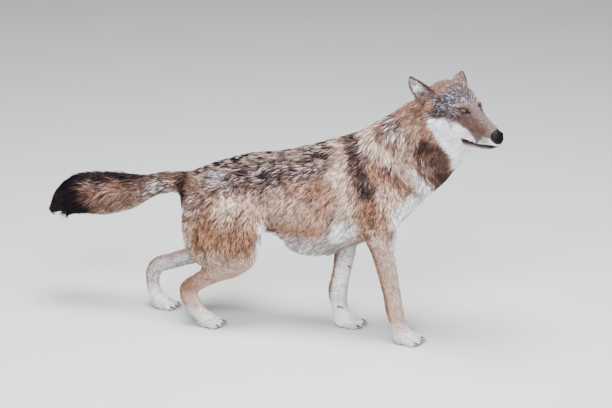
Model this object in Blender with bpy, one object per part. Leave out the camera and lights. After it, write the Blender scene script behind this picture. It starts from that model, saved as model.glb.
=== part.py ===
"""A timber wolf on the prowl, life size, as a museum shows one.

The wolf faces +X with +Y on its left and +Z up. It is modelled whole, out to the
tips of its coat, from tapered rings along the trunk, the legs, the tail and the head,
which a fine remesh joins into one body. That body is then parted with thin cuts
into the head, jaw, nose, ears, neck, trunk, tail and the joints of each leg.
Eyes and claws are pieces of their own, seated in sockets.
"""
import math

import bmesh
import bpy
from mathutils import Matrix, Vector

# ---- driving sizes, in metres ------------------------------------------------------
GAP = 0.0003                 # clearance between neighbouring pieces
BODY_VOXEL = 0.0040          # grain of the remesh that joins the body
BODY_TRIANGLES = 3700        # triangles of the whole body before it is parted
SMOOTHING = 44               # passes that blend the joined masses
HEAD_FIRMNESS = 0.26         # share of that blending on the head and the feet

EYE_RADIUS = 0.0125
EYE_SPREAD = 0.0318          # from the middle of the head to each eye's centre
EYE_SETBACK = 0.0052         # an eye's centre behind the point midway between the lids
LID_OPENING = (0.0098, 0.0060)   # half length and half height of the slit between the lids

HEAD_PLACE = Vector((0.536, -0.075, 0.780))   # midway between the eyes
HEAD_TURN = math.radians(31.0)                # to the wolf's right
HEAD_DROP = math.radians(4.6)
HEAD_TILT = math.radians(1.5)

EAR_LENGTH = 0.102
EAR_WIDTH = 0.078
EAR_WALL = 0.0080             # thickness, coat and all, near the foot
EAR_CUP = 0.95               # depth of the hollow
EAR_ROOT = -0.20             # how far the foot reaches into the head, as a share
EAR_ROWS, EAR_COLUMNS = 9, 6

TOE_SPREAD = 0.0175          # between the middles of neighbouring toes
CLAW_LENGTH = 0.017
CLAW_RADIUS = 0.0036
CLAW_SIDES = 5

RING_SIDES = 28

# ---- the trunk and neck: (top x, top z, low x, low z, half width, middle y, droop) ---
# droop moves the widest place below the middle of the ring
TRUNK_RINGS = (
    (-0.400, 0.462, -0.408, 0.405, 0.040, 0.000, 0.00),
    (-0.376, 0.484, -0.398, 0.345, 0.070, 0.000, 0.00),
    (-0.330, 0.508, -0.360, 0.305, 0.086, 0.000, 0.05),
    (-0.280, 0.529, -0.295, 0.300, 0.094, 0.000, 0.05),
    (-0.181, 0.562, -0.190, 0.315, 0.090, 0.000, 0.08),
    (-0.084, 0.577, -0.095, 0.312, 0.089, 0.000, 0.10),
    (0.013, 0.605, -0.020, 0.262, 0.099, 0.000, 0.14),
    (0.109, 0.638, 0.085, 0.266, 0.107, 0.000, 0.16),
    (0.175, 0.662, 0.165, 0.296, 0.111, 0.000, 0.16),
    (0.215, 0.687, 0.250, 0.330, 0.112, 0.000, 0.14),
    (0.251, 0.711, 0.318, 0.385, 0.110, 0.000, 0.10),
    (0.298, 0.746, 0.378, 0.455, 0.104, -0.002, 0.06),
    (0.345, 0.778, 0.422, 0.495, 0.098, -0.006, 0.04),
    (0.388, 0.806, 0.476, 0.556, 0.093, -0.010, 0.02),
    (0.420, 0.818, 0.518, 0.615, 0.087, -0.018, 0.00),
    (0.450, 0.812, 0.544, 0.660, 0.074, -0.028, 0.00),
)

# ---- the tail: (x, y, z, half height, half width) ------------------------------------
TAIL_RINGS = (
    (-0.360, 0.000, 0.455, 0.036, 0.036),
    (-0.400, 0.000, 0.449, 0.037, 0.036),
    (-0.462, 0.001, 0.442, 0.036, 0.033),
    (-0.513, 0.002, 0.427, 0.041, 0.035),
    (-0.580, 0.004, 0.406, 0.066, 0.047),
    (-0.640, 0.006, 0.393, 0.075, 0.055),
    (-0.700, 0.008, 0.386, 0.070, 0.055),
    (-0.760, 0.010, 0.376, 0.059, 0.049),
    (-0.812, 0.011, 0.356, 0.043, 0.038),
    (-0.848, 0.012, 0.326, 0.022, 0.022),
    (-0.861, 0.012, 0.302, 0.006, 0.006),
)

# ---- the legs: (x, y, z, half fore and aft, half side to side) -----------------------
FORELEG_RIGHT = (
    (0.235, -0.050, 0.590, 0.050, 0.036),
    (0.268, -0.074, 0.510, 0.076, 0.042),
    (0.265, -0.088, 0.420, 0.064, 0.038),
    (0.262, -0.088, 0.350, 0.052, 0.034),
    (0.270, -0.085, 0.300, 0.039, 0.030),
    (0.279, -0.081, 0.250, 0.034, 0.027),
    (0.289, -0.077, 0.200, 0.031, 0.025),
    (0.298, -0.073, 0.150, 0.029, 0.025),
    (0.304, -0.070, 0.110, 0.030, 0.026),
    (0.312, -0.067, 0.075, 0.026, 0.026),
    (0.322, -0.065, 0.045, 0.026, 0.027),
    (0.332, -0.064, 0.022, 0.014, 0.018),
)
FORELEG_LEFT = (
    (0.225, 0.050, 0.580, 0.050, 0.036),
    (0.215, 0.075, 0.490, 0.076, 0.042),
    (0.165, 0.088, 0.400, 0.060, 0.038),
    (0.128, 0.084, 0.335, 0.050, 0.034),
    (0.115, 0.076, 0.280, 0.038, 0.030),
    (0.108, 0.068, 0.225, 0.034, 0.026),
    (0.100, 0.060, 0.170, 0.031, 0.025),
    (0.092, 0.053, 0.125, 0.032, 0.027),
    (0.091, 0.048, 0.098, 0.032, 0.026),
    (0.098, 0.043, 0.068, 0.026, 0.026),
    (0.108, 0.039, 0.042, 0.025, 0.027),
    (0.119, 0.037, 0.021, 0.014, 0.018),
)
HIND_RIGHT = (
    (-0.268, -0.024, 0.490, 0.050, 0.030),
    (-0.262, -0.050, 0.456, 0.084, 0.042),
    (-0.262, -0.074, 0.405, 0.126, 0.045),
    (-0.247, -0.087, 0.340, 0.141, 0.044),
    (-0.237, -0.090, 0.280, 0.133, 0.040),
    (-0.222, -0.090, 0.235, 0.097, 0.034),
    (-0.215, -0.089, 0.212, 0.050, 0.026),
)
SHANK_RIGHT = (
    (-0.176, -0.088, 0.305, 0.026, 0.024),
    (-0.178, -0.089, 0.258, 0.046, 0.034),
    (-0.215, -0.089, 0.222, 0.046, 0.032),
    (-0.262, -0.088, 0.195, 0.038, 0.028),
    (-0.305, -0.086, 0.166, 0.031, 0.024),
    (-0.340, -0.084, 0.143, 0.028, 0.022),
    (-0.364, -0.083, 0.124, 0.030, 0.021),
    (-0.362, -0.082, 0.098, 0.031, 0.021),
    (-0.348, -0.080, 0.070, 0.028, 0.023),
    (-0.330, -0.078, 0.044, 0.023, 0.025),
    (-0.310, -0.077, 0.022, 0.014, 0.018),
)
HIND_LEFT = (
    (-0.268, 0.024, 0.490, 0.050, 0.030),
    (-0.266, 0.050, 0.456, 0.084, 0.042),
    (-0.272, 0.075, 0.405, 0.118, 0.045),
    (-0.272, 0.087, 0.340, 0.112, 0.044),
    (-0.275, 0.090, 0.280, 0.095, 0.040),
    (-0.285, 0.088, 0.240, 0.068, 0.032),
    (-0.290, 0.087, 0.222, 0.040, 0.024),
)
SHANK_LEFT = (
    (-0.236, 0.087, 0.296, 0.026, 0.024),
    (-0.244, 0.088, 0.258, 0.044, 0.034),
    (-0.292, 0.087, 0.226, 0.042, 0.031),
    (-0.345, 0.083, 0.200, 0.036, 0.027),
    (-0.405, 0.078, 0.176, 0.030, 0.023),
    (-0.470, 0.071, 0.154, 0.028, 0.021),
    (-0.512, 0.066, 0.140, 0.028, 0.020),
    (-0.529, 0.062, 0.112, 0.026, 0.020),
    (-0.528, 0.056, 0.078, 0.022, 0.021),
    (-0.517, 0.050, 0.045, 0.022, 0.024),
    (-0.500, 0.046, 0.022, 0.014, 0.018),
)

# ---- the head, in its own axes: (x, top z, low z, half width, droop) ------------------
HEAD_RINGS = (
    (0.1270, -0.054, -0.074, 0.0110, 0.00),
    (0.1240, -0.045, -0.083, 0.0165, 0.00),
    (0.1160, -0.038, -0.093, 0.0210, 0.02),
    (0.1000, -0.033, -0.101, 0.0250, 0.04),
    (0.0760, -0.024, -0.108, 0.0285, 0.03),
    (0.0480, -0.013, -0.114, 0.0340, 0.00),
    (0.0220, 0.001, -0.120, 0.0430, -0.04),
    (0.0030, 0.017, -0.126, 0.0540, -0.04),
    (-0.0180, 0.036, -0.130, 0.0640, 0.02),
    (-0.0450, 0.053, -0.134, 0.0740, 0.08),
    (-0.0780, 0.062, -0.136, 0.0810, 0.10),
    (-0.1080, 0.060, -0.132, 0.0820, 0.10),
    (-0.1380, 0.050, -0.120, 0.0780, 0.08),
    (-0.1650, 0.030, -0.098, 0.0660, 0.00),
)

# masses on the head: (middle, half sizes), mirrored to the other side
HEAD_MASSES = (
    ((-0.012, 0.031, 0.001), (0.027, 0.0150, 0.0160)),   # brow and lids
    ((-0.040, 0.042, -0.030), (0.050, 0.018, 0.032)),    # cheekbone
    ((-0.095, 0.058, -0.070), (0.048, 0.030, 0.052)),    # cheek ruff
    ((-0.118, 0.036, 0.004), (0.026, 0.020, 0.024)),     # foot of the ear
    ((0.072, 0.012, -0.076), (0.040, 0.016, 0.020)),     # lips over the fangs
)

# ears, on the head's axes: foot, way to the tip, way the hollow faces
EARS = {
    -1: ((-0.113, -0.064, 0.007), (-0.348, -0.488, 0.719), (0.239, -0.938, 0.058)),
    1: ((-0.108, 0.060, -0.024), (-0.372, 0.521, 0.768), (-0.320, 0.800, -0.330)),
}

# ---- feet: middle of the paw, heading, and half width of each ------------------------
PAWS = {
    "forepaw_right": ((0.338, -0.063), math.radians(-4.0), 0.040),
    "forepaw_left": ((0.126, 0.037), math.radians(0.0), 0.040),
    "hindpaw_right": ((-0.300, -0.076), math.radians(-3.0), 0.036),
    "hindpaw_left": ((-0.490, 0.045), math.radians(-2.0), 0.036),
}

# ---- colours of the pieces: (red, green, blue), roughness ----------------------------
COATS = {
    "head": ((0.42, 0.33, 0.25), 0.90),
    "jaw": ((0.78, 0.74, 0.68), 0.90),
    "neck": ((0.40, 0.29, 0.19), 0.92),
    "trunk": ((0.38, 0.29, 0.22), 0.92),
    "tail": ((0.28, 0.22, 0.17), 0.92),
    "leg": ((0.55, 0.42, 0.30), 0.90),
    "ear": ((0.36, 0.22, 0.14), 0.90),
    "nose": ((0.02, 0.02, 0.03), 0.35),
    "eye": ((0.45, 0.24, 0.05), 0.08),
    "claw": ((0.05, 0.04, 0.035), 0.40),
}


# ---- general tools -------------------------------------------------------------------
def clear_scene():
    """Empty the file of objects before modelling."""
    for thing in list(bpy.data.objects):
        bpy.data.objects.remove(thing, do_unlink=True)


def coat_material(kind):
    """The material of one kind of piece, made once."""
    material = bpy.data.materials.get("wolf_" + kind)
    if material:
        return material
    colour, roughness = COATS[kind]
    material = bpy.data.materials.new("wolf_" + kind)
    material.use_nodes = True
    shader = material.node_tree.nodes["Principled BSDF"]
    shader.inputs["Base Color"].default_value = (*colour, 1.0)
    shader.inputs["Roughness"].default_value = roughness
    shader.inputs["Metallic"].default_value = 0.0
    return material


def piece_from(bm, name, kind):
    """Link a bmesh into the scene as a named, smoothly shaded piece."""
    mesh = bpy.data.meshes.new(name)
    bmesh.ops.recalc_face_normals(bm, faces=bm.faces)
    bm.to_mesh(mesh)
    bm.free()
    mesh.shade_smooth()
    mesh.set_sharp_from_angle(angle=math.radians(50))
    mesh.materials.append(coat_material(kind))
    piece = bpy.data.objects.new(name, mesh)
    bpy.context.scene.collection.objects.link(piece)
    return piece


def settle(piece):
    """Apply every modifier of a piece to its mesh."""
    graph = bpy.context.evaluated_depsgraph_get()
    mesh = bpy.data.meshes.new_from_object(piece.evaluated_get(graph))
    piece.modifiers.clear()
    old, piece.data = piece.data, mesh
    bpy.data.meshes.remove(old)


def blend(stations, share):
    """Catmull-Rom value of a list of equal tuples at a share of 0 to 1 along it."""
    spans = len(stations) - 1
    place = min(share * spans, spans - 1e-9)
    i = int(place)
    t = place - i
    p1, p2 = stations[i], stations[i + 1]
    p0 = stations[i - 1] if i else tuple(2 * a - b for a, b in zip(p1, p2))
    p3 = stations[i + 2] if i + 2 <= spans else tuple(2 * b - a for a, b in zip(p1, p2))
    return tuple(
        0.5 * (2 * b + (c - a) * t + (2 * a - 5 * b + 4 * c - d) * t * t
               + (3 * b - a - 3 * c + d) * t ** 3)
        for a, b, c, d in zip(p0, p1, p2, p3)
    )


def tube(bm, rings):
    """Skin rings of points into one closed tube with fanned ends."""
    loops = [[bm.verts.new(p) for p in ring] for ring in rings]
    sides = len(loops[0])
    for near, far in zip(loops, loops[1:]):
        for i in range(sides):
            j = (i + 1) % sides
            bm.faces.new((near[i], near[j], far[j], far[i]))
    bm.faces.new(loops[0])
    bm.faces.new(loops[-1])


def oval(middle, across, upward, half_across, half_up, droop=0.0, power=1.0):
    """Points of an egg-shaped ring: droop carries its widest place downwards."""
    points = []
    for i in range(RING_SIDES):
        angle = 2 * math.pi * i / RING_SIDES
        c, s = math.cos(angle), math.sin(angle)
        c = math.copysign(abs(c) ** power, c)
        s = math.copysign(abs(s) ** power, s)
        points.append(middle + upward * (c * half_up)
                      + across * (s * half_across * (1 - droop * c)))
    return points


def ellipsoid(bm, middle, halves, turn=None):
    """A closed ellipsoid, turned by a 3x3 matrix."""
    turn = turn or Matrix.Identity(3)
    place = Matrix.Translation(middle) @ turn.to_4x4() @ Matrix.Diagonal((*halves, 1.0))
    bmesh.ops.create_icosphere(bm, subdivisions=3, radius=1.0, matrix=place)


# ---- the body's masses ---------------------------------------------------------------
def add_trunk(bm):
    """Rump, loins, chest and neck as one row of rings set between back and belly."""
    rings = []
    count = 5 * (len(TRUNK_RINGS) - 1)
    for step in range(count + 1):
        top_x, top_z, low_x, low_z, width, middle_y, droop = blend(TRUNK_RINGS, step / count)
        top = Vector((top_x, middle_y, top_z))
        low = Vector((low_x, middle_y, low_z))
        upward = (top - low) / 2
        rings.append(oval((top + low) / 2, Vector((0, 1, 0)), upward.normalized(),
                          width, upward.length, droop, 0.92))
    tube(bm, rings)


def add_limb(bm, stations, power=1.0):
    """A leg or tail: rings square to the line through its stations."""
    count = 5 * (len(stations) - 1)
    samples = [blend(stations, step / count) for step in range(count + 1)]
    rings = []
    for i, (x, y, z, fore, side) in enumerate(samples):
        before = Vector(samples[max(i - 1, 0)][:3])
        after = Vector(samples[min(i + 1, count)][:3])
        along = (after - before).normalized()
        across = (Vector((0, 1, 0)) - along * along.y).normalized()
        ahead = across.cross(along)
        rings.append(oval(Vector((x, y, z)), across, ahead, side, fore, 0.0, power))
    tube(bm, rings)


def head_axes():
    """Turn of the head: columns are its forward, left and up directions."""
    return (Matrix.Rotation(-HEAD_TURN, 3, "Z") @ Matrix.Rotation(HEAD_DROP, 3, "Y")
            @ Matrix.Rotation(HEAD_TILT, 3, "X"))


def head_point(x, y, z):
    """A place in the head's own axes, brought to the world."""
    return HEAD_PLACE + head_axes() @ Vector((x, y, z))


def add_head(bm):
    """Skull and muzzle from rings along the head, with brows, cheeks and lips."""
    turn = head_axes()
    rings = []
    count = 5 * (len(HEAD_RINGS) - 1)
    for step in range(count + 1):
        x, top, low, width, droop = blend(HEAD_RINGS, step / count)
        muzzle = min(max(x / 0.05, 0.0), 1.0)
        rings.append(oval(head_point(x, 0.0, (top + low) / 2), turn.col[1], turn.col[2],
                          width, (top - low) / 2, droop, 0.88 - 0.06 * muzzle))
    tube(bm, rings)
    for (x, y, z), halves in HEAD_MASSES:
        for side in (1, -1):
            ellipsoid(bm, head_point(x, side * y, z), halves, turn)


def ear_frame(side):
    """Foot, tip direction and opening direction of an ear, in the world."""
    foot, rise, opening = EARS[side]
    rise = (head_axes() @ Vector(rise)).normalized()
    opening = head_axes() @ Vector(opening)
    opening = (opening - rise * opening.dot(rise)).normalized()
    return head_point(*foot), rise, opening


def ear_mesh(side, swell):
    """A cupped leaf: broad at its foot, rounded towards the tip, open on one face."""
    foot, rise, opening = ear_frame(side)
    across = rise.cross(opening)
    rings = []
    for row in range(EAR_ROWS + 1):
        t = row / EAR_ROWS
        height = EAR_LENGTH * (EAR_ROOT + (1.0 - EAR_ROOT) * t)
        free = max(0.0, height / EAR_LENGTH)
        ahead = EAR_WIDTH / 2 * max(1.0 - free ** 1.3, 0.03)
        behind = EAR_WIDTH / 2 * max(1.0 - free ** 2.4, 0.03) ** 0.75
        cup = 1.25 - 0.55 * t
        wall = EAR_WALL * (1.30 - 0.60 * t)
        back, front = [], []
        for column in range(EAR_COLUMNS + 1):
            angle = cup * (2 * column / EAR_COLUMNS - 1)
            swing = math.sin(angle) / math.sin(cup)
            width = ahead if swing * side < 0 else behind
            spread = (ahead + behind) / 2
            depth = spread * EAR_CUP * (math.cos(angle) - math.cos(cup)) / math.sin(cup)
            rim = wall / 2 * (1.0 - 0.55 * abs(swing) ** 4)
            middle = foot + rise * height
            back.append(middle + across * (width * swing) - opening * (depth + rim))
            front.append(middle + across * (width * swing * 0.93) - opening * (depth - rim))
        rings.append(back + front[::-1])
    bm = bmesh.new()
    tube(bm, rings)
    bmesh.ops.triangulate(bm, faces=bm.faces)
    bmesh.ops.recalc_face_normals(bm, faces=bm.faces)
    bm.normal_update()
    for vertex in bm.verts:
        vertex.co += vertex.normal * swell
    return bm


def seat_ear(side, hosts):
    """An ear, with a socket of its own shape in each piece that it grows from."""
    name = "ear_left" if side > 0 else "ear_right"
    piece_from(ear_mesh(side, 0.0), name, "ear")
    for host in hosts:
        socket = piece_from(ear_mesh(side, GAP), "socket", "ear")
        boolean(host, socket, "DIFFERENCE")
        bpy.data.objects.remove(socket)


def add_paw(bm, middle, heading, half_width):
    """Four toes and a pad, low and rounded, reaching just below the floor."""
    turn = Matrix.Rotation(heading, 3, "Z")
    sole = Vector((middle[0], middle[1], 0.0))
    scale = half_width / 0.040
    ellipsoid(bm, sole + turn @ Vector((-0.010 * scale, 0, 0.022)),
              (0.036 * scale, 0.031 * scale, 0.030), turn)
    ellipsoid(bm, sole + turn @ Vector((-0.016 * scale, 0, 0.008)),
              (0.022 * scale, 0.024 * scale, 0.013), turn)
    for number in (-1.5, -0.5, 0.5, 1.5):
        inner = abs(number) < 1
        reach = (0.032 if inner else 0.021) * scale
        spot = Vector((reach, number * TOE_SPREAD * scale, 0.0125))
        fan = turn @ Matrix.Rotation(number * 0.09, 3, "Z")
        ellipsoid(bm, sole + turn @ spot, (0.0235 * scale, 0.0108 * scale, 0.0165), fan)
    if half_width > 0.038:
        ellipsoid(bm, sole + turn @ Vector((-0.034, 0, 0.094)), (0.012, 0.013, 0.014), turn)


def softness(place):
    """Share of the blending that a point takes: little on the head and the feet."""
    from_head = ((place - head_point(-0.02, 0, -0.03)).length - 0.12) / 0.08
    from_floor = (place.z - 0.045) / 0.06
    share = min(max(min(from_head, from_floor), 0.0), 1.0)
    return HEAD_FIRMNESS + (1.0 - HEAD_FIRMNESS) * share


def model_body():
    """Join every mass of flesh and coat into one closed, even, thinned skin."""
    bm = bmesh.new()
    add_trunk(bm)
    add_limb(bm, TAIL_RINGS)
    for leg in (FORELEG_RIGHT, FORELEG_LEFT, HIND_RIGHT, SHANK_RIGHT, HIND_LEFT, SHANK_LEFT):
        add_limb(bm, leg)
    add_head(bm)
    for middle, heading, half_width in PAWS.values():
        add_paw(bm, middle, heading, half_width)
    bmesh.ops.triangulate(bm, faces=bm.faces)
    body = piece_from(bm, "body", "trunk")

    remesh = body.modifiers.new("join", "REMESH")
    remesh.mode = "VOXEL"
    remesh.voxel_size = BODY_VOXEL
    remesh.use_smooth_shade = True
    settle(body)
    yielding = body.vertex_groups.new(name="yielding")
    for vertex in body.data.vertices:
        yielding.add([vertex.index], softness(vertex.co), "REPLACE")
    smooth = body.modifiers.new("blend", "SMOOTH")
    smooth.factor = 0.5
    smooth.iterations = SMOOTHING
    smooth.vertex_group = yielding.name
    settle(body)

    largest_shell(body)
    thin = body.modifiers.new("thin", "DECIMATE")
    thin.ratio = BODY_TRIANGLES / (2 * len(body.data.polygons))
    thin.use_collapse_triangulate = True
    settle(body)
    return body


# ---- parting the body ----------------------------------------------------------------
def mesh_of(piece):
    """A bmesh copy of a piece's mesh."""
    bm = bmesh.new()
    bm.from_mesh(piece.data)
    return bm


def cut_away(bm, point, normal):
    """Remove what lies on the far side of a plane and close the cut."""
    bmesh.ops.bisect_plane(bm, geom=bm.verts[:] + bm.edges[:] + bm.faces[:], dist=1e-7,
                           plane_co=point, plane_no=normal, clear_outer=True)
    bmesh.ops.holes_fill(bm, edges=[e for e in bm.edges if e.is_boundary], sides=0)
    bmesh.ops.triangulate(bm, faces=[f for f in bm.faces if len(f.verts) > 3])


def part(piece, point, normal, ahead, kind):
    """Split a piece at a plane: what lies along the normal becomes a new piece."""
    point, normal = Vector(point), Vector(normal).normalized()
    front = mesh_of(piece)
    cut_away(front, point + normal * GAP / 2, -normal)
    back = mesh_of(piece)
    cut_away(back, point - normal * GAP / 2, normal)
    name, own_kind = piece.name, piece.data.materials[0].name.removeprefix("wolf_")
    mesh = piece.data
    bpy.data.objects.remove(piece)
    bpy.data.meshes.remove(mesh)
    return piece_from(back, name, own_kind), piece_from(front, ahead, kind)


def grown_outline(profile, swell):
    """An outline in the X-Z plane moved outwards by swell, corner by corner."""
    grown = []
    count = len(profile)
    for i, (x, z) in enumerate(profile):
        here = Vector((x, z))
        lead = (here - Vector(profile[i - 1])).normalized()
        trail = (Vector(profile[(i + 1) % count]) - here).normalized()
        outward_in = Vector((lead.y, -lead.x))
        outward_out = Vector((trail.y, -trail.x))
        mitre = (outward_in + outward_out).normalized()
        grown.append(here + mitre * swell / max(mitre.dot(outward_in), 0.2))
    return grown


def guide_solid(profile, outer_y, sole_y, lean, swell):
    """An outline drawn out along Y to an inner face at sole_y that leans with height."""
    way = math.copysign(swell, sole_y - outer_y)
    bm = bmesh.new()
    outer, inner = [], []
    for point in grown_outline(profile, swell):
        outer.append(bm.verts.new((point.x, outer_y - way, point.y)))
        inner.append(bm.verts.new((point.x, sole_y + lean * point.y + way, point.y)))
    bm.faces.new(outer)
    bm.faces.new(inner)
    for i in range(len(outer)):
        j = i - 1
        bm.faces.new((outer[i], outer[j], inner[j], inner[i]))
    bmesh.ops.triangulate(bm, faces=bm.faces, ngon_method="EAR_CLIP")
    guide = piece_from(bm, "guide", "leg")
    guide.hide_render = True
    guide.display_type = "WIRE"
    return guide


def boolean(piece, tool, operation):
    """Apply one Boolean; the exact solver loses the faces of the remeshed body."""
    step = piece.modifiers.new("cut", "BOOLEAN")
    step.operation = operation
    step.solver = "MANIFOLD"
    step.object = tool
    settle(piece)


def take_region(body, name, kind, profile, outer_y, sole_y, lean=0.0):
    """Move what lies inside a guide solid from the body to a piece of its own."""
    limb = piece_from(mesh_of(body), name, kind)
    inside = guide_solid(profile, outer_y, sole_y, lean, 0.0)
    boolean(limb, inside, "INTERSECT")
    outside = guide_solid(profile, outer_y, sole_y, lean, GAP)
    boolean(body, outside, "DIFFERENCE")
    for guide in (inside, outside):
        bpy.data.objects.remove(guide)
    return limb


# guide solids that set each leg off from the trunk: outline, outer Y, inner Y at the
# floor and the lean of that inner face with height
LEG_GUIDES = {
    "foreleg_right": (((0.215, -0.05), (0.500, -0.05), (0.332, 0.330), (0.336, 0.400),
                       (0.342, 0.470), (0.300, 0.560), (0.225, 0.560), (0.195, 0.470),
                       (0.190, 0.370)), -0.30, 0.021, -0.170),
    "foreleg_left": (((-0.050, -0.05), (0.205, -0.05), (0.250, 0.300), (0.262, 0.400),
                      (0.290, 0.480), (0.250, 0.555), (0.175, 0.550), (0.125, 0.460),
                      (0.070, 0.350), (0.030, 0.240)), 0.30, -0.033, 0.150),
    "hindleg_right": (((-0.700, -0.05), (-0.050, -0.05), (-0.075, 0.290), (-0.125, 0.400),
                       (-0.190, 0.480), (-0.265, 0.505), (-0.345, 0.470), (-0.440, 0.400)),
                      -0.30, -0.022, -0.040),
    "hindleg_left": (((-0.800, -0.05), (-0.100, -0.05), (-0.120, 0.290), (-0.150, 0.400),
                      (-0.200, 0.480), (-0.265, 0.505), (-0.345, 0.470), (-0.440, 0.400)),
                     0.30, -0.015, 0.090),
}


def claw_frame(paw, number):
    """Root and heading of one claw of a paw; number 0 is the dewclaw."""
    middle, heading, half_width = PAWS[paw]
    turn = Matrix.Rotation(heading, 3, "Z")
    scale = half_width / 0.040
    if number == 0:
        side = 1 if middle[1] < 0 else -1
        root = Vector((-0.022, side * 0.0190, 0.070))
        return Vector((middle[0], middle[1], 0)) + turn @ root, turn
    place = number - 2.5
    inner = abs(place) < 1
    reach = (0.0515 if inner else 0.0405) * scale
    fan = turn @ Matrix.Rotation(place * 0.12, 3, "Z")
    root = Vector((reach, place * (TOE_SPREAD + 0.0012) * scale, 0.0155))
    return Vector((middle[0], middle[1], 0)) + turn @ root, fan


def claw_mesh(paw, number, swell):
    """A curved, tapered horn: rings along an arc that bends down to its point."""
    root, turn = claw_frame(paw, number)
    bm = bmesh.new()
    rings = []
    steps = 3
    across = Vector((0, 1, 0))
    for step in range(steps + 1):
        t = step / steps
        bend = 0.15 + 0.75 * t
        middle = Vector((CLAW_LENGTH * (t * 1.35 - 0.42) + swell * (2 * t - 1), 0,
                         -0.0042 * t * t))
        along = Vector((math.cos(bend), 0, -math.sin(bend)))
        upward = along.cross(across)
        radius = CLAW_RADIUS * (1.0 - 0.90 * t ** 1.6) + swell
        ring = []
        for i in range(CLAW_SIDES):
            angle = 2 * math.pi * i / CLAW_SIDES
            ring.append(root + turn @ (middle + across * (radius * 0.72 * math.cos(angle))
                                       + upward * (radius * math.sin(angle))))
        rings.append(ring)
    tube(bm, rings)
    bmesh.ops.triangulate(bm, faces=bm.faces)
    return bm


def add_claws(paw_piece, paw):
    """Seat each claw of a paw in a socket of its own shape."""
    first = 0 if paw.startswith("fore") else 1
    for number in range(first, 5):
        label = "dewclaw" if number == 0 else f"claw_{number}"
        piece_from(claw_mesh(paw, number, 0.0), f"{paw}_{label}", "claw")
        socket = piece_from(claw_mesh(paw, number, GAP), "socket", "claw")
        boolean(paw_piece, socket, "DIFFERENCE")
        bpy.data.objects.remove(socket)


def eye_place(side):
    """Middle of an eyeball, in the world."""
    return head_point(-EYE_SETBACK, side * EYE_SPREAD, 0.0)


def add_eye(head, side):
    """An eyeball seated in the head, showing between the lids."""
    name = "eye_left" if side > 0 else "eye_right"
    turn = head_axes()
    place = Matrix.Translation(eye_place(side)) @ turn.to_4x4()
    balls = []
    for label, radius in ((name, EYE_RADIUS), ("socket", EYE_RADIUS + GAP)):
        bm = bmesh.new()
        bmesh.ops.create_icosphere(bm, subdivisions=2, radius=radius, matrix=place)
        balls.append(piece_from(bm, label, "eye"))
    socket = balls[1]
    outward = turn @ Vector((0.78, side * 0.60, 0.10)).normalized()
    seat = outward.to_track_quat("Z", "Y").to_matrix().to_4x4()
    flare = Matrix.Diagonal((LID_OPENING[0], LID_OPENING[1], 1.0, 1.0))
    bm = bmesh.new()
    bmesh.ops.create_cone(bm, cap_ends=True, segments=16, radius1=0.7, radius2=1.5, depth=0.03,
                          matrix=Matrix.Translation(eye_place(side) + outward * 0.020)
                          @ seat @ flare)
    window = piece_from(bm, "window", "eye")
    for tool in (socket, window):
        boolean(head, tool, "DIFFERENCE")
        bpy.data.objects.remove(tool)


def largest_shell(piece):
    """Keep the largest connected shell of a piece."""
    bm = mesh_of(piece)
    unseen = set(bm.faces)
    shells = []
    while unseen:
        stack = [unseen.pop()]
        shell = set(stack)
        while stack:
            face = stack.pop()
            for edge in face.edges:
                for other in edge.link_faces:
                    if other in unseen:
                        unseen.discard(other)
                        shell.add(other)
                        stack.append(other)
        shells.append(shell)
    if len(shells) > 1:
        keep = max(shells, key=len)
        bmesh.ops.delete(bm, geom=[f for f in bm.faces if f not in keep], context="FACES")
        loose = [v for v in bm.verts if not v.link_faces]
        bmesh.ops.delete(bm, geom=loose, context="VERTS")
        bm.to_mesh(piece.data)
    bm.free()


def stand_on_origin():
    """Move all pieces so that the origin is the middle of their box, at the floor."""
    corners = []
    for piece in bpy.data.objects:
        corners += [v.co for v in piece.data.vertices]
    lows = [min(c[k] for c in corners) for k in range(3)]
    highs = [max(c[k] for c in corners) for k in range(3)]
    shift = Vector((-(lows[0] + highs[0]) / 2, -(lows[1] + highs[1]) / 2, -lows[2]))
    for piece in bpy.data.objects:
        piece.data.transform(Matrix.Translation(shift))
    return shift


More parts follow.
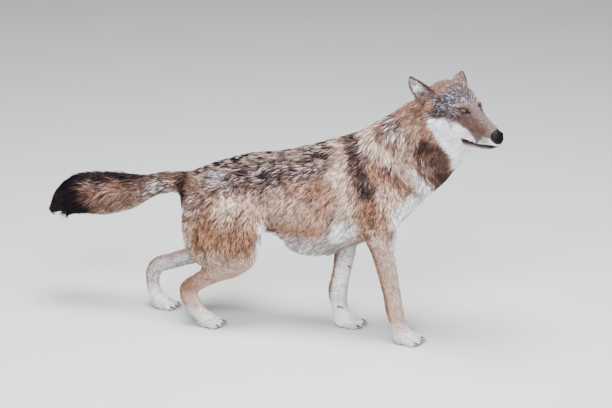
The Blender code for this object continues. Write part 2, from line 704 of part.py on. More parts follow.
def build():
    """Model the wolf, part it and stand it on the origin."""
    clear_scene()
    body = model_body()
    flat = mesh_of(body)
    cut_away(flat, Vector((0, 0, 0)), Vector((0, 0, -1)))
    mesh = body.data
    bpy.data.objects.remove(body)
    bpy.data.meshes.remove(mesh)
    body = piece_from(flat, "trunk", "trunk")

    taken = {name: take_region(body, name + "_upper", "leg", *guide)
             for name, guide in LEG_GUIDES.items()}
    body, tail = part(body, (-0.405, 0, 0.45), (-0.98, 0, -0.10), "tail", "tail")
    body, neck = part(body, (0.300, 0, 0.600), (0.78, 0, 0.55), "neck", "neck")
    neck, head = part(neck, head_point(-0.135, 0, -0.02), head_axes() @ Vector((0.92, 0, 0.38)),
                      "head", "head")

    joints = {
        "foreleg_right": (((0.270, -0.085, 0.297), (0.10, 0, -1)),
                          ((0.305, -0.070, 0.105), (0.25, 0, -1))),
        "foreleg_left": (((0.110, 0.075, 0.252), (-0.10, 0, -1)),
                         ((0.092, 0.050, 0.105), (0.10, 0, -1))),
        "hindleg_right": (((-0.318, -0.086, 0.190), (-0.70, 0, -0.71)),
                          ((-0.354, -0.082, 0.122), (-0.30, 0, -0.95))),
        "hindleg_left": (((-0.375, 0.080, 0.200), (-0.70, 0, -0.71)),
                         ((-0.518, 0.064, 0.130), (-0.25, 0, -0.97))),
    }
    lower_names = {"fore": "_forearm", "hind": "_shank"}
    for name, limb in taken.items():
        (upper_at, upper_way), (lower_at, lower_way) = joints[name]
        limb, lower = part(limb, upper_at, upper_way, name + lower_names[name[:4]], "leg")
        paw = name.replace("leg", "paw")
        lower, foot = part(lower, lower_at, lower_way, paw, "leg")
        add_claws(foot, paw)

    mouth = ((0.300, -0.300), (0.300, -0.070), (0.120, -0.084), (0.060, -0.094),
             (0.016, -0.098), (-0.030, -0.150), (-0.050, -0.300))
    place = Matrix.Translation(HEAD_PLACE) @ head_axes().to_4x4()
    head.data.transform(place.inverted())
    jaw = take_region(head, "lower_jaw", "jaw", mouth, -0.2, 0.2)
    head, nose = part(head, (0.118, 0, -0.05), (1, 0, 0.35), "nose", "nose")
    for piece in (head, jaw, nose):
        piece.data.transform(place)
    for side in (1, -1):
        seat_ear(side, (head, neck))
        add_eye(head, side)
    for piece in bpy.data.objects:
        largest_shell(piece)
    stand_on_origin()


build()
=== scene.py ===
"""Timber wolf, life size: skin, coat, eyes, nose, claws and whiskers over the solid model."""

import math

import bmesh
import bpy
import numpy as np
from bpy.props import FloatProperty, FloatVectorProperty, IntProperty, PointerProperty
from mathutils import Matrix, Vector
from mathutils.bvhtree import BVHTree
from mathutils.kdtree import KDTree


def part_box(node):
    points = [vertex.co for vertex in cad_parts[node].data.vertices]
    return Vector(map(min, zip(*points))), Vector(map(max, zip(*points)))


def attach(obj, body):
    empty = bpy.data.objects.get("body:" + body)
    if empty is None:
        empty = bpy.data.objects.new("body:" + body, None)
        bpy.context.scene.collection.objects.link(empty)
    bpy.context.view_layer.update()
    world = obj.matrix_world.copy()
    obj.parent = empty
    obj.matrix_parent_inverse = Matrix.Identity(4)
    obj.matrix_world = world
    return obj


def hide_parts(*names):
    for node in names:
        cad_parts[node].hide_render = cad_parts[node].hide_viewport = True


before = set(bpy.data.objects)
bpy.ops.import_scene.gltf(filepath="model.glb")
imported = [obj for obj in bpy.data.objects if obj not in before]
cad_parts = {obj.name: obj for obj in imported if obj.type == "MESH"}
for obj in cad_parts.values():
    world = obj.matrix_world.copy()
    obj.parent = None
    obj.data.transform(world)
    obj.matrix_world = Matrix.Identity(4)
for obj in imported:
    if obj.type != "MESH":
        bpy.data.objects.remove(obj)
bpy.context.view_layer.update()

bl_info = {
    "name": "Timber Wolf",
    "version": (1, 0, 0),
    "blender": (4, 5, 0),
    "location": "3D View > Sidebar > Wolf",
    "description": "Builds the skin, coat and studio of a life-size wolf",
    "category": "Add Mesh",
}

# ---- places -------------------------------------------------------------------------
HEAD_ORIGIN = Vector((0.6464, -0.0663, 0.78))
HEAD_TURN = math.radians(31.0)
HEAD_DROP = math.radians(4.6)
HEAD_TILT = math.radians(1.5)
HEAD_AXES = (Matrix.Rotation(-HEAD_TURN, 3, "Z") @ Matrix.Rotation(HEAD_DROP, 3, "Y")
             @ Matrix.Rotation(HEAD_TILT, 3, "X"))
HEAD = np.array(HEAD_AXES)
SIDES = (1, -1)

LEGS = ("foreleg_left", "foreleg_right", "hindleg_left", "hindleg_right")
PAWS = ("forepaw_left", "forepaw_right", "hindpaw_left", "hindpaw_right")
REGIONS = {
    "head": ("head", "lower_jaw"),
    "ear": ("ear_left", "ear_right"),
    "neck": ("neck",),
    "trunk": ("trunk",),
    "tail": ("tail",),
    "arm": ("foreleg_left_upper", "foreleg_right_upper"),
    "forearm": ("foreleg_left_forearm", "foreleg_right_forearm"),
    "thigh": ("hindleg_left_upper", "hindleg_right_upper"),
    "shank": ("hindleg_left_shank", "hindleg_right_shank"),
    "paw": PAWS,
}
NAMES = list(REGIONS)
FLESH = [node for group in REGIONS.values() for node in group]
CLAWS = sorted(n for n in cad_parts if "claw" in n)

# left and right ear in the head's axes: base, way to the tip, way out of the hollow
EARS = {
    1: ((-0.108, 0.06, -0.024), (-0.372, 0.521, 0.768), (-0.32, 0.8, -0.33)),
    -1: ((-0.113, -0.064, 0.007), (-0.348, -0.488, 0.719), (0.239, -0.938, 0.058)),
}
EAR_LENGTH = 0.102
EAR_HALF = 0.039
EAR_WALL = 0.0028

# left eye in the head's axes, and its lids: half widths toward the nose and away from it,
# lower lid's drop as a share of the upper lid's rise, depth of the slit
EYE_PLACE = (-0.0052, 0.0318, 0.0)
GAZE = (0.78, 0.6, 0.1)
EYE_SLANT = math.radians(14.0)
LID_RADIUS = 0.0141
LID_HALVES = (0.0135, 0.012)
LOWER_LID = -0.8
LID_DEPTH = 0.0062

# line of the lips on the head, forward and up
MOUTH = ((0.119, -0.084), (0.09, -0.0895), (0.06, -0.094), (0.03, -0.0965),
         (0.012, -0.094))

# name of the map, and width of one lock's patch on it
MAP = "OFBake"
PATCH = 0.003

# how far copies of the solids swell to close the cuts between them
SWELL = {"body": 0.0009, "ear": 0.0016, "nose": 0.0006, "claw": 0.0007}

# depth of the coat over the skin, length and width of a lock, how closely locks cover
COAT = {
    "head": (0.0022, 0.0088, 0.00125, 1.0),
    "ear": (0.0012, 0.009, 0.0013, 1.25),
    "neck": (0.016, 0.044, 0.0027, 5.2),
    "trunk": (0.012, 0.036, 0.0025, 3.8),
    "tail": (0.024, 0.06, 0.003, 6.2),
    "arm": (0.007, 0.025, 0.0025, 2.1),
    "forearm": (0.0022, 0.012, 0.0018, 0.55),
    "thigh": (0.008, 0.028, 0.0026, 2.1),
    "shank": (0.0024, 0.013, 0.0018, 0.55),
    "paw": (0.002, 0.01, 0.0018, 0.52),
    "cheek": (0.0085, 0.026, 0.0021, 3.4),
    "hollow": (0.001, 0.021, 0.0013, 2.2),
}

# where the hair points on neck, trunk and haunch, seen from the side: x, z, and its way
LIE = (
    (0.46, 0.8, -0.95, -0.3), (0.43, 0.72, -0.25, -0.97),
    (0.5, 0.68, 0.02, -1.0), (0.55, 0.6, 0.3, -0.95),
    (0.48, 0.56, 0.38, -0.92), (0.42, 0.61, 0.36, -0.93),
    (0.35, 0.68, -0.1, -0.99), (0.43, 0.48, 0.1, -0.99),
    (0.31, 0.62, -0.3, -0.95), (0.34, 0.5, -0.15, -0.99),
    (0.24, 0.64, -0.72, -0.69), (0.18, 0.6, -0.8, -0.6),
    (0.26, 0.46, -0.42, -0.91), (0.1, 0.6, -0.92, -0.38),
    (0.1, 0.45, -0.62, -0.78), (0.08, 0.33, -0.45, -0.89),
    (-0.08, 0.52, -0.93, -0.36), (-0.08, 0.4, -0.62, -0.78),
    (-0.2, 0.49, -0.99, -0.14), (-0.26, 0.4, -0.6, -0.8),
    (-0.16, 0.38, -0.38, -0.92), (-0.06, 0.33, -0.25, -0.97),
    (-0.2, 0.28, -0.45, -0.89),
)


# ---- arrays -------------------------------------------------------------------------
def unit(rows):
    """Rows brought to length one."""
    return rows / np.maximum(np.linalg.norm(rows, axis=1, keepdims=True), 1e-9)


def ramp(value, low, high):
    """Smooth step from 0 at low to 1 at high."""
    t = np.clip((value - low) / (high - low), 0.0, 1.0)
    return t * t * (3.0 - 2.0 * t)


def fall(value, low, high):
    """Smooth step from 1 at low to 0 at high."""
    return 1.0 - ramp(value, low, high)


def blend(low, high, share):
    """Straight mix of two values."""
    return low + (high - low) * share


def ripple(points, scale, seed):
    """Soft noise of about -1 to 1 from crossed waves."""
    rng = np.random.default_rng(seed)
    total = np.zeros(len(points))
    for octave in range(5):
        way = rng.normal(size=(4, 3))
        phase = rng.uniform(0.0, 6.28, 4)
        grain = scale * 1.7 ** octave
        waves = np.sin((points @ way.T) * grain + phase)
        total += waves.sum(axis=1) * 0.42 / 1.35 ** octave
    return np.clip(total / 1.6, -1.0, 1.0)


def on_head(points):
    """Points in the head's axes: forward, left, up."""
    return (points - np.array(HEAD_ORIGIN)) @ HEAD


def off_head(points):
    """Points of the head's axes, back in the model's frame."""
    return np.asarray(points) @ HEAD.T + np.array(HEAD_ORIGIN)


def fetch(things, field, width, kind=float):
    """One field of many small things, as rows."""
    values = np.zeros(len(things) * width, kind)
    things.foreach_get(field, values)
    return values.reshape(-1, width)


class Surface:
    """A mesh's vertices, normals, edges and triangles as arrays."""

    def __init__(self, mesh):
        self.mesh = mesh
        self.count = len(mesh.vertices)
        self.points = fetch(mesh.vertices, "co", 3)
        self.edges = fetch(mesh.edges, "vertices", 2, np.int32)
        mesh.calc_loop_triangles()
        self.triangles = fetch(mesh.loop_triangles, "vertices", 3, np.int32)
        self.loops = fetch(mesh.loop_triangles, "loops", 3, np.int32)
        ends = np.bincount(self.edges.ravel(), minlength=self.count)
        self.valence = np.maximum(ends, 1)[:, None]

    def normals(self):
        """Vertex normals of the present points, weighted by area."""
        a, b, c = (self.points[self.triangles[:, k]] for k in range(3))
        face = np.cross(b - a, c - a)
        total = np.zeros((self.count, 3))
        for k in range(3):
            for axis in range(3):
                total[:, axis] += np.bincount(self.triangles[:, k], face[:, axis], self.count)
        return unit(total)

    def smooth(self, values, rounds):
        """Values evened out over the edges."""
        flat = values.ndim == 1
        out = values.reshape(self.count, -1).astype(float)
        a, b = self.edges[:, 0], self.edges[:, 1]
        for _ in range(rounds):
            total = np.empty_like(out)
            for column in range(out.shape[1]):
                values_here = out[:, column]
                total[:, column] = (np.bincount(a, values_here[b], self.count)
                                    + np.bincount(b, values_here[a], self.count))
            out += (total / self.valence - out) * 0.5
        return out[:, 0] if flat else out

    def tree(self):
        """Search tree over the present triangles."""
        return BVHTree.FromPolygons(self.points.tolist(), self.triangles.tolist())

    def store(self):
        """Write the points back to the mesh."""
        self.mesh.vertices.foreach_set("co", self.points.ravel())
        self.mesh.update()


KINDS = {1: ("FLOAT", "value"), 3: ("FLOAT_VECTOR", "vector"), 4: ("FLOAT_COLOR", "color")}


def write_attribute(mesh, name, values):
    """Keep numbers, ways or colours on the vertices under a name."""
    kind, field = KINDS[values.size // len(mesh.vertices)]
    layer = mesh.attributes.new(name, kind, "POINT")
    layer.data.foreach_set(field, np.ascontiguousarray(values, np.float32).ravel())


def read_attribute(mesh, name, width):
    """Values of some width kept on the vertices under a name."""
    values = fetch(mesh.attributes[name].data, KINDS[width][1], width, np.float32)
    return values if width > 1 else values[:, 0]


def link(name, mesh, material):
    """A new object of a mesh, at the origin."""
    piece = bpy.data.objects.new(name, mesh)
    bpy.context.scene.collection.objects.link(piece)
    if material:
        mesh.materials.append(material)
    return piece


def finish_piece(piece, nodes=()):
    """Tie a piece to the body and hide the nodes it stands in for."""
    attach(piece, "root")
    if nodes:
        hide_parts(*nodes)


def face_outward(bm):
    """Merge doubled corners and turn all faces outwards."""
    bmesh.ops.remove_doubles(bm, verts=bm.verts, dist=1e-6)
    bmesh.ops.recalc_face_normals(bm, faces=bm.faces)
    bm.normal_update()


def clean_copy(names, swell=0.0, whole=None):
    """Merged copies of some nodes, each swollen a little, added to one bmesh."""
    if whole is None:
        whole = bmesh.new()
    spare = bpy.data.meshes.new("part")
    for name in names:
        part = bmesh.new()
        part.from_mesh(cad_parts[name].data)
        face_outward(part)
        for vertex in part.verts:
            vertex.co += vertex.normal * swell
        part.to_mesh(spare)
        part.free()
        whole.from_mesh(spare)
    bpy.data.meshes.remove(spare)
    return whole


def mesh_of(bm, name):
    """A new mesh from a bmesh, which is given up."""
    mesh = bpy.data.meshes.new(name)
    bm.to_mesh(mesh)
    bm.free()
    return mesh


def solid(name, points, faces, **attributes):
    """A closed mesh that faces outwards, with values kept on its points."""
    mesh = bpy.data.meshes.new(name)
    mesh.from_pydata(points, [], faces)
    for key, values in attributes.items():
        write_attribute(mesh, key, values)
    bm = bmesh.new()
    bm.from_mesh(mesh)
    bpy.data.meshes.remove(mesh)
    face_outward(bm)
    return mesh_of(bm, name)


def tube_faces(rows, around, first=0):
    """Quads between rings of corners."""
    faces = []
    for low in range(first, first + rows * around, around):
        for k in range(around):
            n = (k + 1) % around
            faces.append((low + k, low + n, low + around + n, low + around + k))
    return faces


def applied(piece):
    """The mesh of a piece with its modifiers applied, in place of the piece."""
    graph = bpy.context.evaluated_depsgraph_get()
    made = bpy.data.meshes.new_from_object(piece.evaluated_get(graph))
    source, name = piece.data, piece.data.name
    bpy.data.objects.remove(piece)
    bpy.data.meshes.remove(source)
    made.name = name
    return made


def remeshed(bm, name, voxel):
    """The outer shell of a bmesh as an even grid of quads."""
    piece = link(name, mesh_of(bm, name), None)
    step = piece.modifiers.new("even", "REMESH")
    step.mode = "VOXEL"
    step.voxel_size = voxel
    return applied(piece)


# ---- shading ------------------------------------------------------------------------
BRIGHTEST = 0.96
DARK_TIP = (0.018, 0.016, 0.018)
UNDERFUR_SHADE = (0.42, 0.38, 0.36)
LEATHER = ((0.004, 0.004, 0.005), (0.012, 0.01, 0.011))


class Signal:
    """A socket's value in a node tree, for use in arithmetic."""

    def __init__(self, graph, socket):
        self.graph = graph
        self.socket = socket

    def _maths(self, operation, first, second):
        vector = any(isinstance(x, Signal) and x.socket.type in {"VECTOR", "RGBA"}
                     for x in (first, second))
        if vector:
            return self.graph.vector(operation, first, second)
        return self.graph.number(operation, first, second)

    def __add__(self, other):
        return self._maths("ADD", self, other)

    def __radd__(self, other):
        return self._maths("ADD", other, self)

    def __sub__(self, other):
        return self._maths("SUBTRACT", self, other)

    def __rsub__(self, other):
        return self._maths("SUBTRACT", other, self)

    def __mul__(self, other):
        return self._maths("MULTIPLY", self, other)

    def __rmul__(self, other):
        return self._maths("MULTIPLY", other, self)


class Graph:
    """A material's node tree and the few ways nodes are added to it."""

    def __init__(self, name, **constants):
        self.material = bpy.data.materials.new(name)
        self.material.use_nodes = True
        self.tree = self.material.node_tree
        self.shader = self.tree.nodes["Principled BSDF"]
        for socket, value in constants.items():
            self.shader.inputs[socket.replace("_", " ")].default_value = value

    def feed(self, socket, value):
        """Link a signal to a socket, or set its number."""
        if isinstance(value, Signal):
            self.tree.links.new(value.socket, socket)
        elif isinstance(value, (tuple, list)) and socket.type == "RGBA":
            socket.default_value = (*value[:3], 1.0)
        elif isinstance(value, (int, float)) and socket.type == "VECTOR":
            socket.default_value = (value, value, value)
        else:
            socket.default_value = value

    def node(self, kind, settings=(), sockets=(), output=0):
        """Any node: its settings first, then its sockets by name or number."""
        made = self.tree.nodes.new(kind)
        for key, value in dict(settings).items():
            setattr(made, key, value)
        for key, value in dict(sockets).items():
            self.feed(made.inputs[key], value)
        return Signal(self, made.outputs[output])

    def number(self, operation, first, second):
        return self.node("ShaderNodeMath", {"operation": operation}, {0: first, 1: second})

    def vector(self, operation, first, second):
        return self.node("ShaderNodeVectorMath", {"operation": operation},
                         {0: first, 1: second})

    def place(self):
        return self.node("ShaderNodeTexCoord", output="Object")

    def noise(self, scale, detail=3.0, rough=0.55):
        return self.node("ShaderNodeTexNoise", {"noise_dimensions": "3D"},
                         {"Vector": self.place(), "Scale": scale, "Detail": detail,
                          "Roughness": rough})

    def ramp(self, value, low, high):
        return self.node("ShaderNodeMapRange", {"interpolation_type": "SMOOTHSTEP"},
                         {"Value": value, "From Min": low, "From Max": high})

    def attribute(self, name, output="Color"):
        return self.node("ShaderNodeAttribute", {"attribute_name": name}, output=output)

    def split(self, value):
        """The three parts of a colour or vector."""
        first = self.node("ShaderNodeSeparateXYZ", {}, {0: value})
        return [Signal(self, socket) for socket in first.socket.node.outputs]

    def mix(self, share, first, second):
        return self.node("ShaderNodeMix", {"data_type": "RGBA"},
                         {0: share, 6: first, 7: second}, 2)

    def bump(self, height, strength, distance):
        return self.node("ShaderNodeBump", {}, {"Height": height, "Strength": strength,
                                                "Distance": distance})

    def finish(self, **links):
        for socket, value in links.items():
            self.feed(self.shader.inputs[socket.replace("_", " ")], value)
        return self.material


def coat_colour(graph, settings):
    """Fur colour from the markings that a vertex carries, with painted shade toward the roots.
    """
    first, white = (graph.attribute("marks", output) for output in ("Color", "Alpha"))
    second, bare = (graph.attribute("lock", output) for output in ("Color", "Alpha"))
    dark, rust, cream = graph.split(first)
    grey, along, chance = graph.split(second)
    colour = tuple(settings.tan)
    for share, shade in ((rust, settings.rust), (grey, settings.grey), (cream, settings.cream),
                         (white, settings.white), (dark, settings.dark)):
        colour = graph.mix(share, colour, tuple(shade))
    # painted shade: colour darkens toward a lock's root, and lit adds each lock's random tone
    # on top
    depth = graph.ramp(along, 0.0, 0.6) * 0.74 + 0.32
    lit = depth * (chance * 1.66 + 0.18)
    light = graph.node("ShaderNodeCombineXYZ", {}, {0: lit, 1: lit, 2: lit})
    colour = graph.vector("MINIMUM", graph.vector("MULTIPLY", colour, light), (BRIGHTEST,) * 3)
    return colour, bare, grey, along, chance


def coat_material(settings):
    """Fur of locks: colour from the markings with painted shade toward the roots, each lock a
    little its own.
    """
    found = bpy.data.materials.get("fur")
    if found:
        return found
    graph = Graph("fur", Specular_IOR_Level=0.06)
    colour, _, grey, along, chance = coat_colour(graph, settings)
    tip = graph.ramp(along, 0.55, 1.0) * (grey * 0.6 + 0.08)
    colour = graph.mix(tip * graph.ramp(chance, 0.6, 0.25), colour, DARK_TIP)
    rough = graph.noise(240.0) * 0.18 + 0.52
    return graph.finish(Base_Color=colour, Roughness=rough)


def skin_material(settings):
    """Short underfur on skin, darker as painted shade under long coat, with bare black lips,
    lids and pads.
    """
    graph = Graph("underfur", Specular_IOR_Level=0.05)
    colour, bare, _, _, _ = coat_colour(graph, settings)
    fine = graph.noise(520.0, 4.0, 0.6)
    broad = graph.noise(60.0, 2.0)
    fur = graph.mix(graph.ramp(fine, 0.35, 0.75) * 0.4, colour,
                    graph.vector("MULTIPLY", colour, UNDERFUR_SHADE))
    leather = graph.mix(broad, LEATHER[0], LEATHER[1])
    colour = graph.mix(bare, fur, leather)
    rough = (1.0 - bare) * 0.3 + 0.48
    height = fine * (1.0 - bare * 0.7) + broad * 0.4
    return graph.finish(Base_Color=colour, Roughness=rough,
                        Normal=graph.bump(height, 0.55, 0.0016))


# ---- markings and painted shade -----------------------------------------------------
def line_gaps(points, line):
    """Distance of points from each stretch of a line, with that stretch."""
    for a, b in zip(line[:-1], line[1:]):
        span = b - a
        share = np.clip(((points - a) @ span) / (span @ span), 0.0, 1.0)
        yield np.linalg.norm(points - a - share[:, None] * span, axis=1), span


def line_gap(points, line):
    """Distance of points from the nearest stretch of a line."""
    return np.min([gap for gap, _ in line_gaps(points, np.array(line))], axis=0)


class MarksAndShade:
    """Layers of colour laid over each other on a set of points. Places are in mm."""

    LAYERS = ("dark", "rust", "cream", "white", "grey", "bare")

    def __init__(self, points, normals, region):
        drift = np.stack([ripple(points, 38.0, seed) for seed in (1, 2, 3)], axis=1)
        self.normals = normals
        self.region = region
        self.points = points + drift * 0.007
        self.head = on_head(points + drift * 0.002)
        self.mirrored = self.head.copy()
        self.mirrored[:, 1] = np.abs(self.head[:, 1])
        self.share = {name: np.zeros(len(points)) for name in self.LAYERS}

    def zone(self, *names):
        """Share of some regions together."""
        return np.clip(sum(self.region[name] for name in names), 0, 1)

    def facing(self, axis, low, high):
        """1 where the surface faces along an axis: 1, 2 or 3, or below 0 for its back."""
        return ramp(math.copysign(1, axis) * self.normals[:, abs(axis) - 1], low, high)

    def lay(self, layer, amount):
        """Cover what is there with one colour, by an amount from 0 to 1."""
        for name in self.LAYERS:
            self.share[name] *= 1.0 - amount
        if layer != "tan":
            self.share[layer] += amount

    def side(self, centre, radii, lean=0, soft=0.4):
        """1 inside an ellipse seen from the side, fading to 0 outside it."""
        gap = self.points[:, [0, 2]] - np.array(centre) / 1000
        turn = math.radians(lean)
        a = gap[:, 0] * math.cos(turn) + gap[:, 1] * math.sin(turn)
        b = gap[:, 1] * math.cos(turn) - gap[:, 0] * math.sin(turn)
        reach = np.hypot(a / (radii[0] / 1000), b / (radii[1] / 1000))
        return fall(reach, 1.0 - soft, 1.0 + soft)

    def stroke(self, line, width, soft=0.5):
        """1 along a line seen from the side, fading to 0 beyond its half width."""
        gap = line_gap(self.points[:, [0, 2]], np.array(line) / 1000)
        return fall(gap / (width / 1000), 1.0 - soft, 1.0 + soft)

    def face(self, centre, radii, soft=0.4):
        """1 inside an ellipsoid on both sides of the head."""
        gap = (self.mirrored - np.array(centre) / 1000) / (np.array(radii) / 1000)
        return fall(np.linalg.norm(gap, axis=1), 1.0 - soft, 1.0 + soft)

    def spots(self, zone, rows):
        """Ellipses from the side: layer, place, radii, lean, softness, share."""
        for layer, x, z, wide, high, lean, soft, share in rows:
            self.lay(layer, zone * self.side((x, z), (wide, high), lean, soft) * share)

    def marks(self, zone, rows):
        """Ellipsoids on the head: layer, place, radii, softness, share."""
        for layer, fwd, left, up, a, b, c, soft, share in rows:
            self.lay(layer, zone * self.face((fwd, left, up), (a, b, c), soft) * share)


def below_back(points):
    """Depth under the line of the back, seen from the side."""
    line = np.interp(points[:, 0], (-0.28, -0.17, -0.07, 0.03, 0.12, 0.22, 0.3),
                     (0.485, 0.54, 0.57, 0.592, 0.622, 0.662, 0.7))
    return line - points[:, 2]


def mouth_height(fwd):
    """Height of the mouth line on the head."""
    return np.interp(fwd, *np.array(MOUTH[::-1]).T)


def paint_body(m):
    """Saddle, flank, belly, the white behind the elbow and a painted shadow under it."""
    x, _, z = m.points.T
    trunk = np.clip(m.region["trunk"] + m.region["thigh"] + 0.5 * m.region["arm"], 0, 1)
    saddle = ramp(x, -0.2, -0.08) * fall(x, 0.17, 0.26)
    m.lay("grey", trunk * saddle * fall(below_back(m.points), 0.08, 0.15) * 0.94)
    m.spots(trunk, (
        ("grey", -165, 505, 50, 35, 25, 0.6, 0.8),
        ("cream", -165, 515, 50, 30, 25, 0.6, 0.34),
        ("rust", -56, 472, 50, 26, 5, 0.7, 0.4),
        ("dark", -80, 508, 40, 20, 20, 0.4, 0.35),
        ("white", -150, 500, 45, 26, 20, 0.6, 0.24),
        ("dark", 50, 525, 140, 26, 12, 0.6, 0.38),
        ("cream", 30, 415, 180, 55, 5, 0.7, 0.5),
        ("rust", 20, 375, 140, 30, 10, 0.6, 0.38),
        ("rust", -55, 400, 35, 18, 30, 0.4, 0.4)))
    trunk = m.region["trunk"]
    low = m.facing(-3, -0.35, 0.35) * fall(z, 0.31, 0.36) * fall(x, 0.3, 0.36)
    m.lay("white", trunk * low * 0.7)
    m.lay("grey", trunk * low * 0.34)
    m.spots(trunk, (
        ("white", 265, 374, 48, 40, 20, 0.5, 0.92),
        # the dark row is a painted shadow under the white elbow patch
        ("dark", 255, 318, 50, 12, 10, 0.4, 0.45)))


def paint_shoulder(m):
    """Bar, pale band, mane and the dark line of the back."""
    x = m.points[:, 0]
    body, arm = m.zone("trunk", "neck", "arm"), m.region["arm"]
    m.lay("cream", body * m.stroke(((235, 630), (250, 540), (275, 450)), 28) * 0.75)
    m.lay("cream", body * m.side((160, 600), (70, 30), 25) * 0.55)
    bar = m.stroke(((272, 680), (296, 640), (302, 590), (316, 550), (334, 505)), 25, 0.6)
    m.lay("grey", body * bar * 0.96)
    m.lay("dark", body * bar * 0.74)
    m.lay("grey", body * m.side((335, 640), (35, 32), 0, 0.6) * 0.7)
    m.lay("dark", body * m.stroke(((135, 573), (165, 578)), 9) * 0.7)
    m.lay("rust", arm * m.side((350, 440), (45, 50), 0, 0.6) * 0.3)
    m.lay("cream", body * m.side((395, 495), (34, 45), 0, 0.7) * 0.7)
    m.lay("cream", arm * m.side((380, 345), (26, 40), 0, 0.7) * 0.45)
    m.lay("rust", body * m.side((400, 580), (40, 28), -30, 0.6) * 0.5)
    m.lay("grey", body * m.side((395, 590), (30, 20), -30, 0.6) * 0.45)
    m.lay("rust", body * m.stroke(((352, 480), (362, 420), (378, 385)), 8) * 0.65)
    m.lay("dark", body * m.stroke(((356, 440), (366, 395)), 4) * 0.45)
    ridge = fall(below_back(m.points), 0.02, 0.046) * fall(x, 0.24, 0.32)
    m.lay("dark", m.region["trunk"] * ridge * ramp(x, -0.27, -0.22) * 0.66)


def paint_neck(m):
    """Grizzled neck, cream band, white throat and chest."""
    x, _, z = m.points.T
    trunk, head = m.region["trunk"], m.region["head"]
    neck = np.clip(m.region["neck"] + 0.6 * ramp(x, 0.36, 0.4) * trunk, 0, 1)
    front = np.clip(neck + trunk + m.region["arm"] + head, 0, 1)
    m.lay("rust", neck * 0.34)
    m.lay("grey", neck * 0.34)
    m.spots(neck, (
        ("grey", 420, 705, 40, 30, 0, 0.6, 0.6),
        ("rust", 500, 725, 35, 50, 20, 0.6, 0.75),
        ("rust", 455, 780, 45, 30, 30, 0.6, 0.55),
        ("cream", 455, 660, 30, 40, 0, 0.7, 0.35)))
    band = m.stroke(((340, 668), (387, 636), (417, 615), (447, 590), (480, 560), (507, 528),
                     (522, 495)), 18, 0.7)
    m.lay("cream", front * band * 0.84)
    m.lay("white", front * band * ramp(x, 0.43, 0.49) * 0.8)
    m.lay("rust", front * m.side((463, 515), (16, 50), 20, 0.6) * 0.45)
    throat = m.stroke(((640, 700), (625, 620), (598, 540), (545, 470), (490, 440)), 20)
    m.lay("white", np.clip(neck + trunk + head, 0, 1) * throat * 0.88)
    m.lay("white", front * m.side((455, 450), (42, 62), -20) * 0.88)
    chest = m.facing(1, 0.6, 0.9) * fall(z, 0.5, 0.56)
    m.lay("white", front * chest * ramp(x, 0.36, 0.42) * 0.8)


def paint_rear(m):
    """Rump, thigh, tail root, the white fringes and painted shade in a crease low on the
    thigh.
    """
    x, _, z = m.points.T
    rump = m.region["trunk"] * fall(x, -0.15, -0.05)
    haunch = np.clip(m.region["thigh"] + rump, 0, 1)
    m.spots(haunch, (
        ("grey", -215, 445, 60, 45, 20, 0.7, 0.55),
        ("rust", -155, 385, 24, 60, 10, 0.7, 0.45),
        ("rust", -95, 330, 45, 40, 40, 0.7, 0.3),
        ("grey", -215, 400, 30, 40, 0, 0.8, 0.35),
        ("rust", -215, 470, 50, 16, 0, 0.7, 0.4),
        ("cream", -235, 300, 35, 55, -10, 0.6, 0.6),
        ("rust", -185, 370, 40, 50, 10, 0.7, 0.34),
        ("cream", -118, 418, 34, 32, 20, 0.7, 0.7)))
    stifle = m.stroke(((-212, 325), (-200, 275), (-192, 240), (-140, 232)), 23, 0.7)
    m.lay("rust", haunch * stifle * 0.85)
    # painted shade in the crease low on the thigh
    m.lay("dark", haunch * m.stroke(((-185, 230), (-150, 226)), 10, 0.7) * 0.45)
    m.lay("rust", haunch * m.side((-80, 270), (60, 30), 30, 0.7) * 0.35)
    m.lay("white", haunch * m.stroke(((-290, 415), (-288, 350), (-270, 300)), 16) * 0.9)
    seat = m.facing(-1, 0.55, 0.85) * ramp(z, 0.27, 0.31) * fall(z, 0.4, 0.43)
    m.lay("white", haunch * seat * 0.85)
    m.lay("white", haunch * m.stroke(((-12, 375), (0, 335), (-6, 290)), 14, 0.6) * 0.92)
    root = m.stroke(((-268, 500), (-262, 425)), 18, 0.6)
    m.lay("dark", m.zone("tail", "trunk", "thigh") * root * 0.95)


def paint_tail(m):
    """Dark line and tip of the tail, brown brush, pale edge under it."""
    x, _, z = m.points.T
    tail = m.region["tail"]
    brush = fall(x, -0.45, -0.36)
    m.lay("grey", tail * (1.0 - 0.4 * brush) * 0.92)
    m.lay("rust", tail * brush * 0.36)
    m.lay("dark", tail * brush * 0.2)
    m.lay("dark", tail * (1.0 - brush) * 0.16)
    m.lay("cream", tail * m.facing(-3, 0.1, 0.8) * 0.38)
    m.lay("dark", tail * m.facing(3, 0.36, 0.84) * (0.62 + 0.32 * brush))
    tip = fall(x + (z - 0.4) * 0.7, -0.606, -0.556)
    m.lay("dark", tail * tip * 0.96)


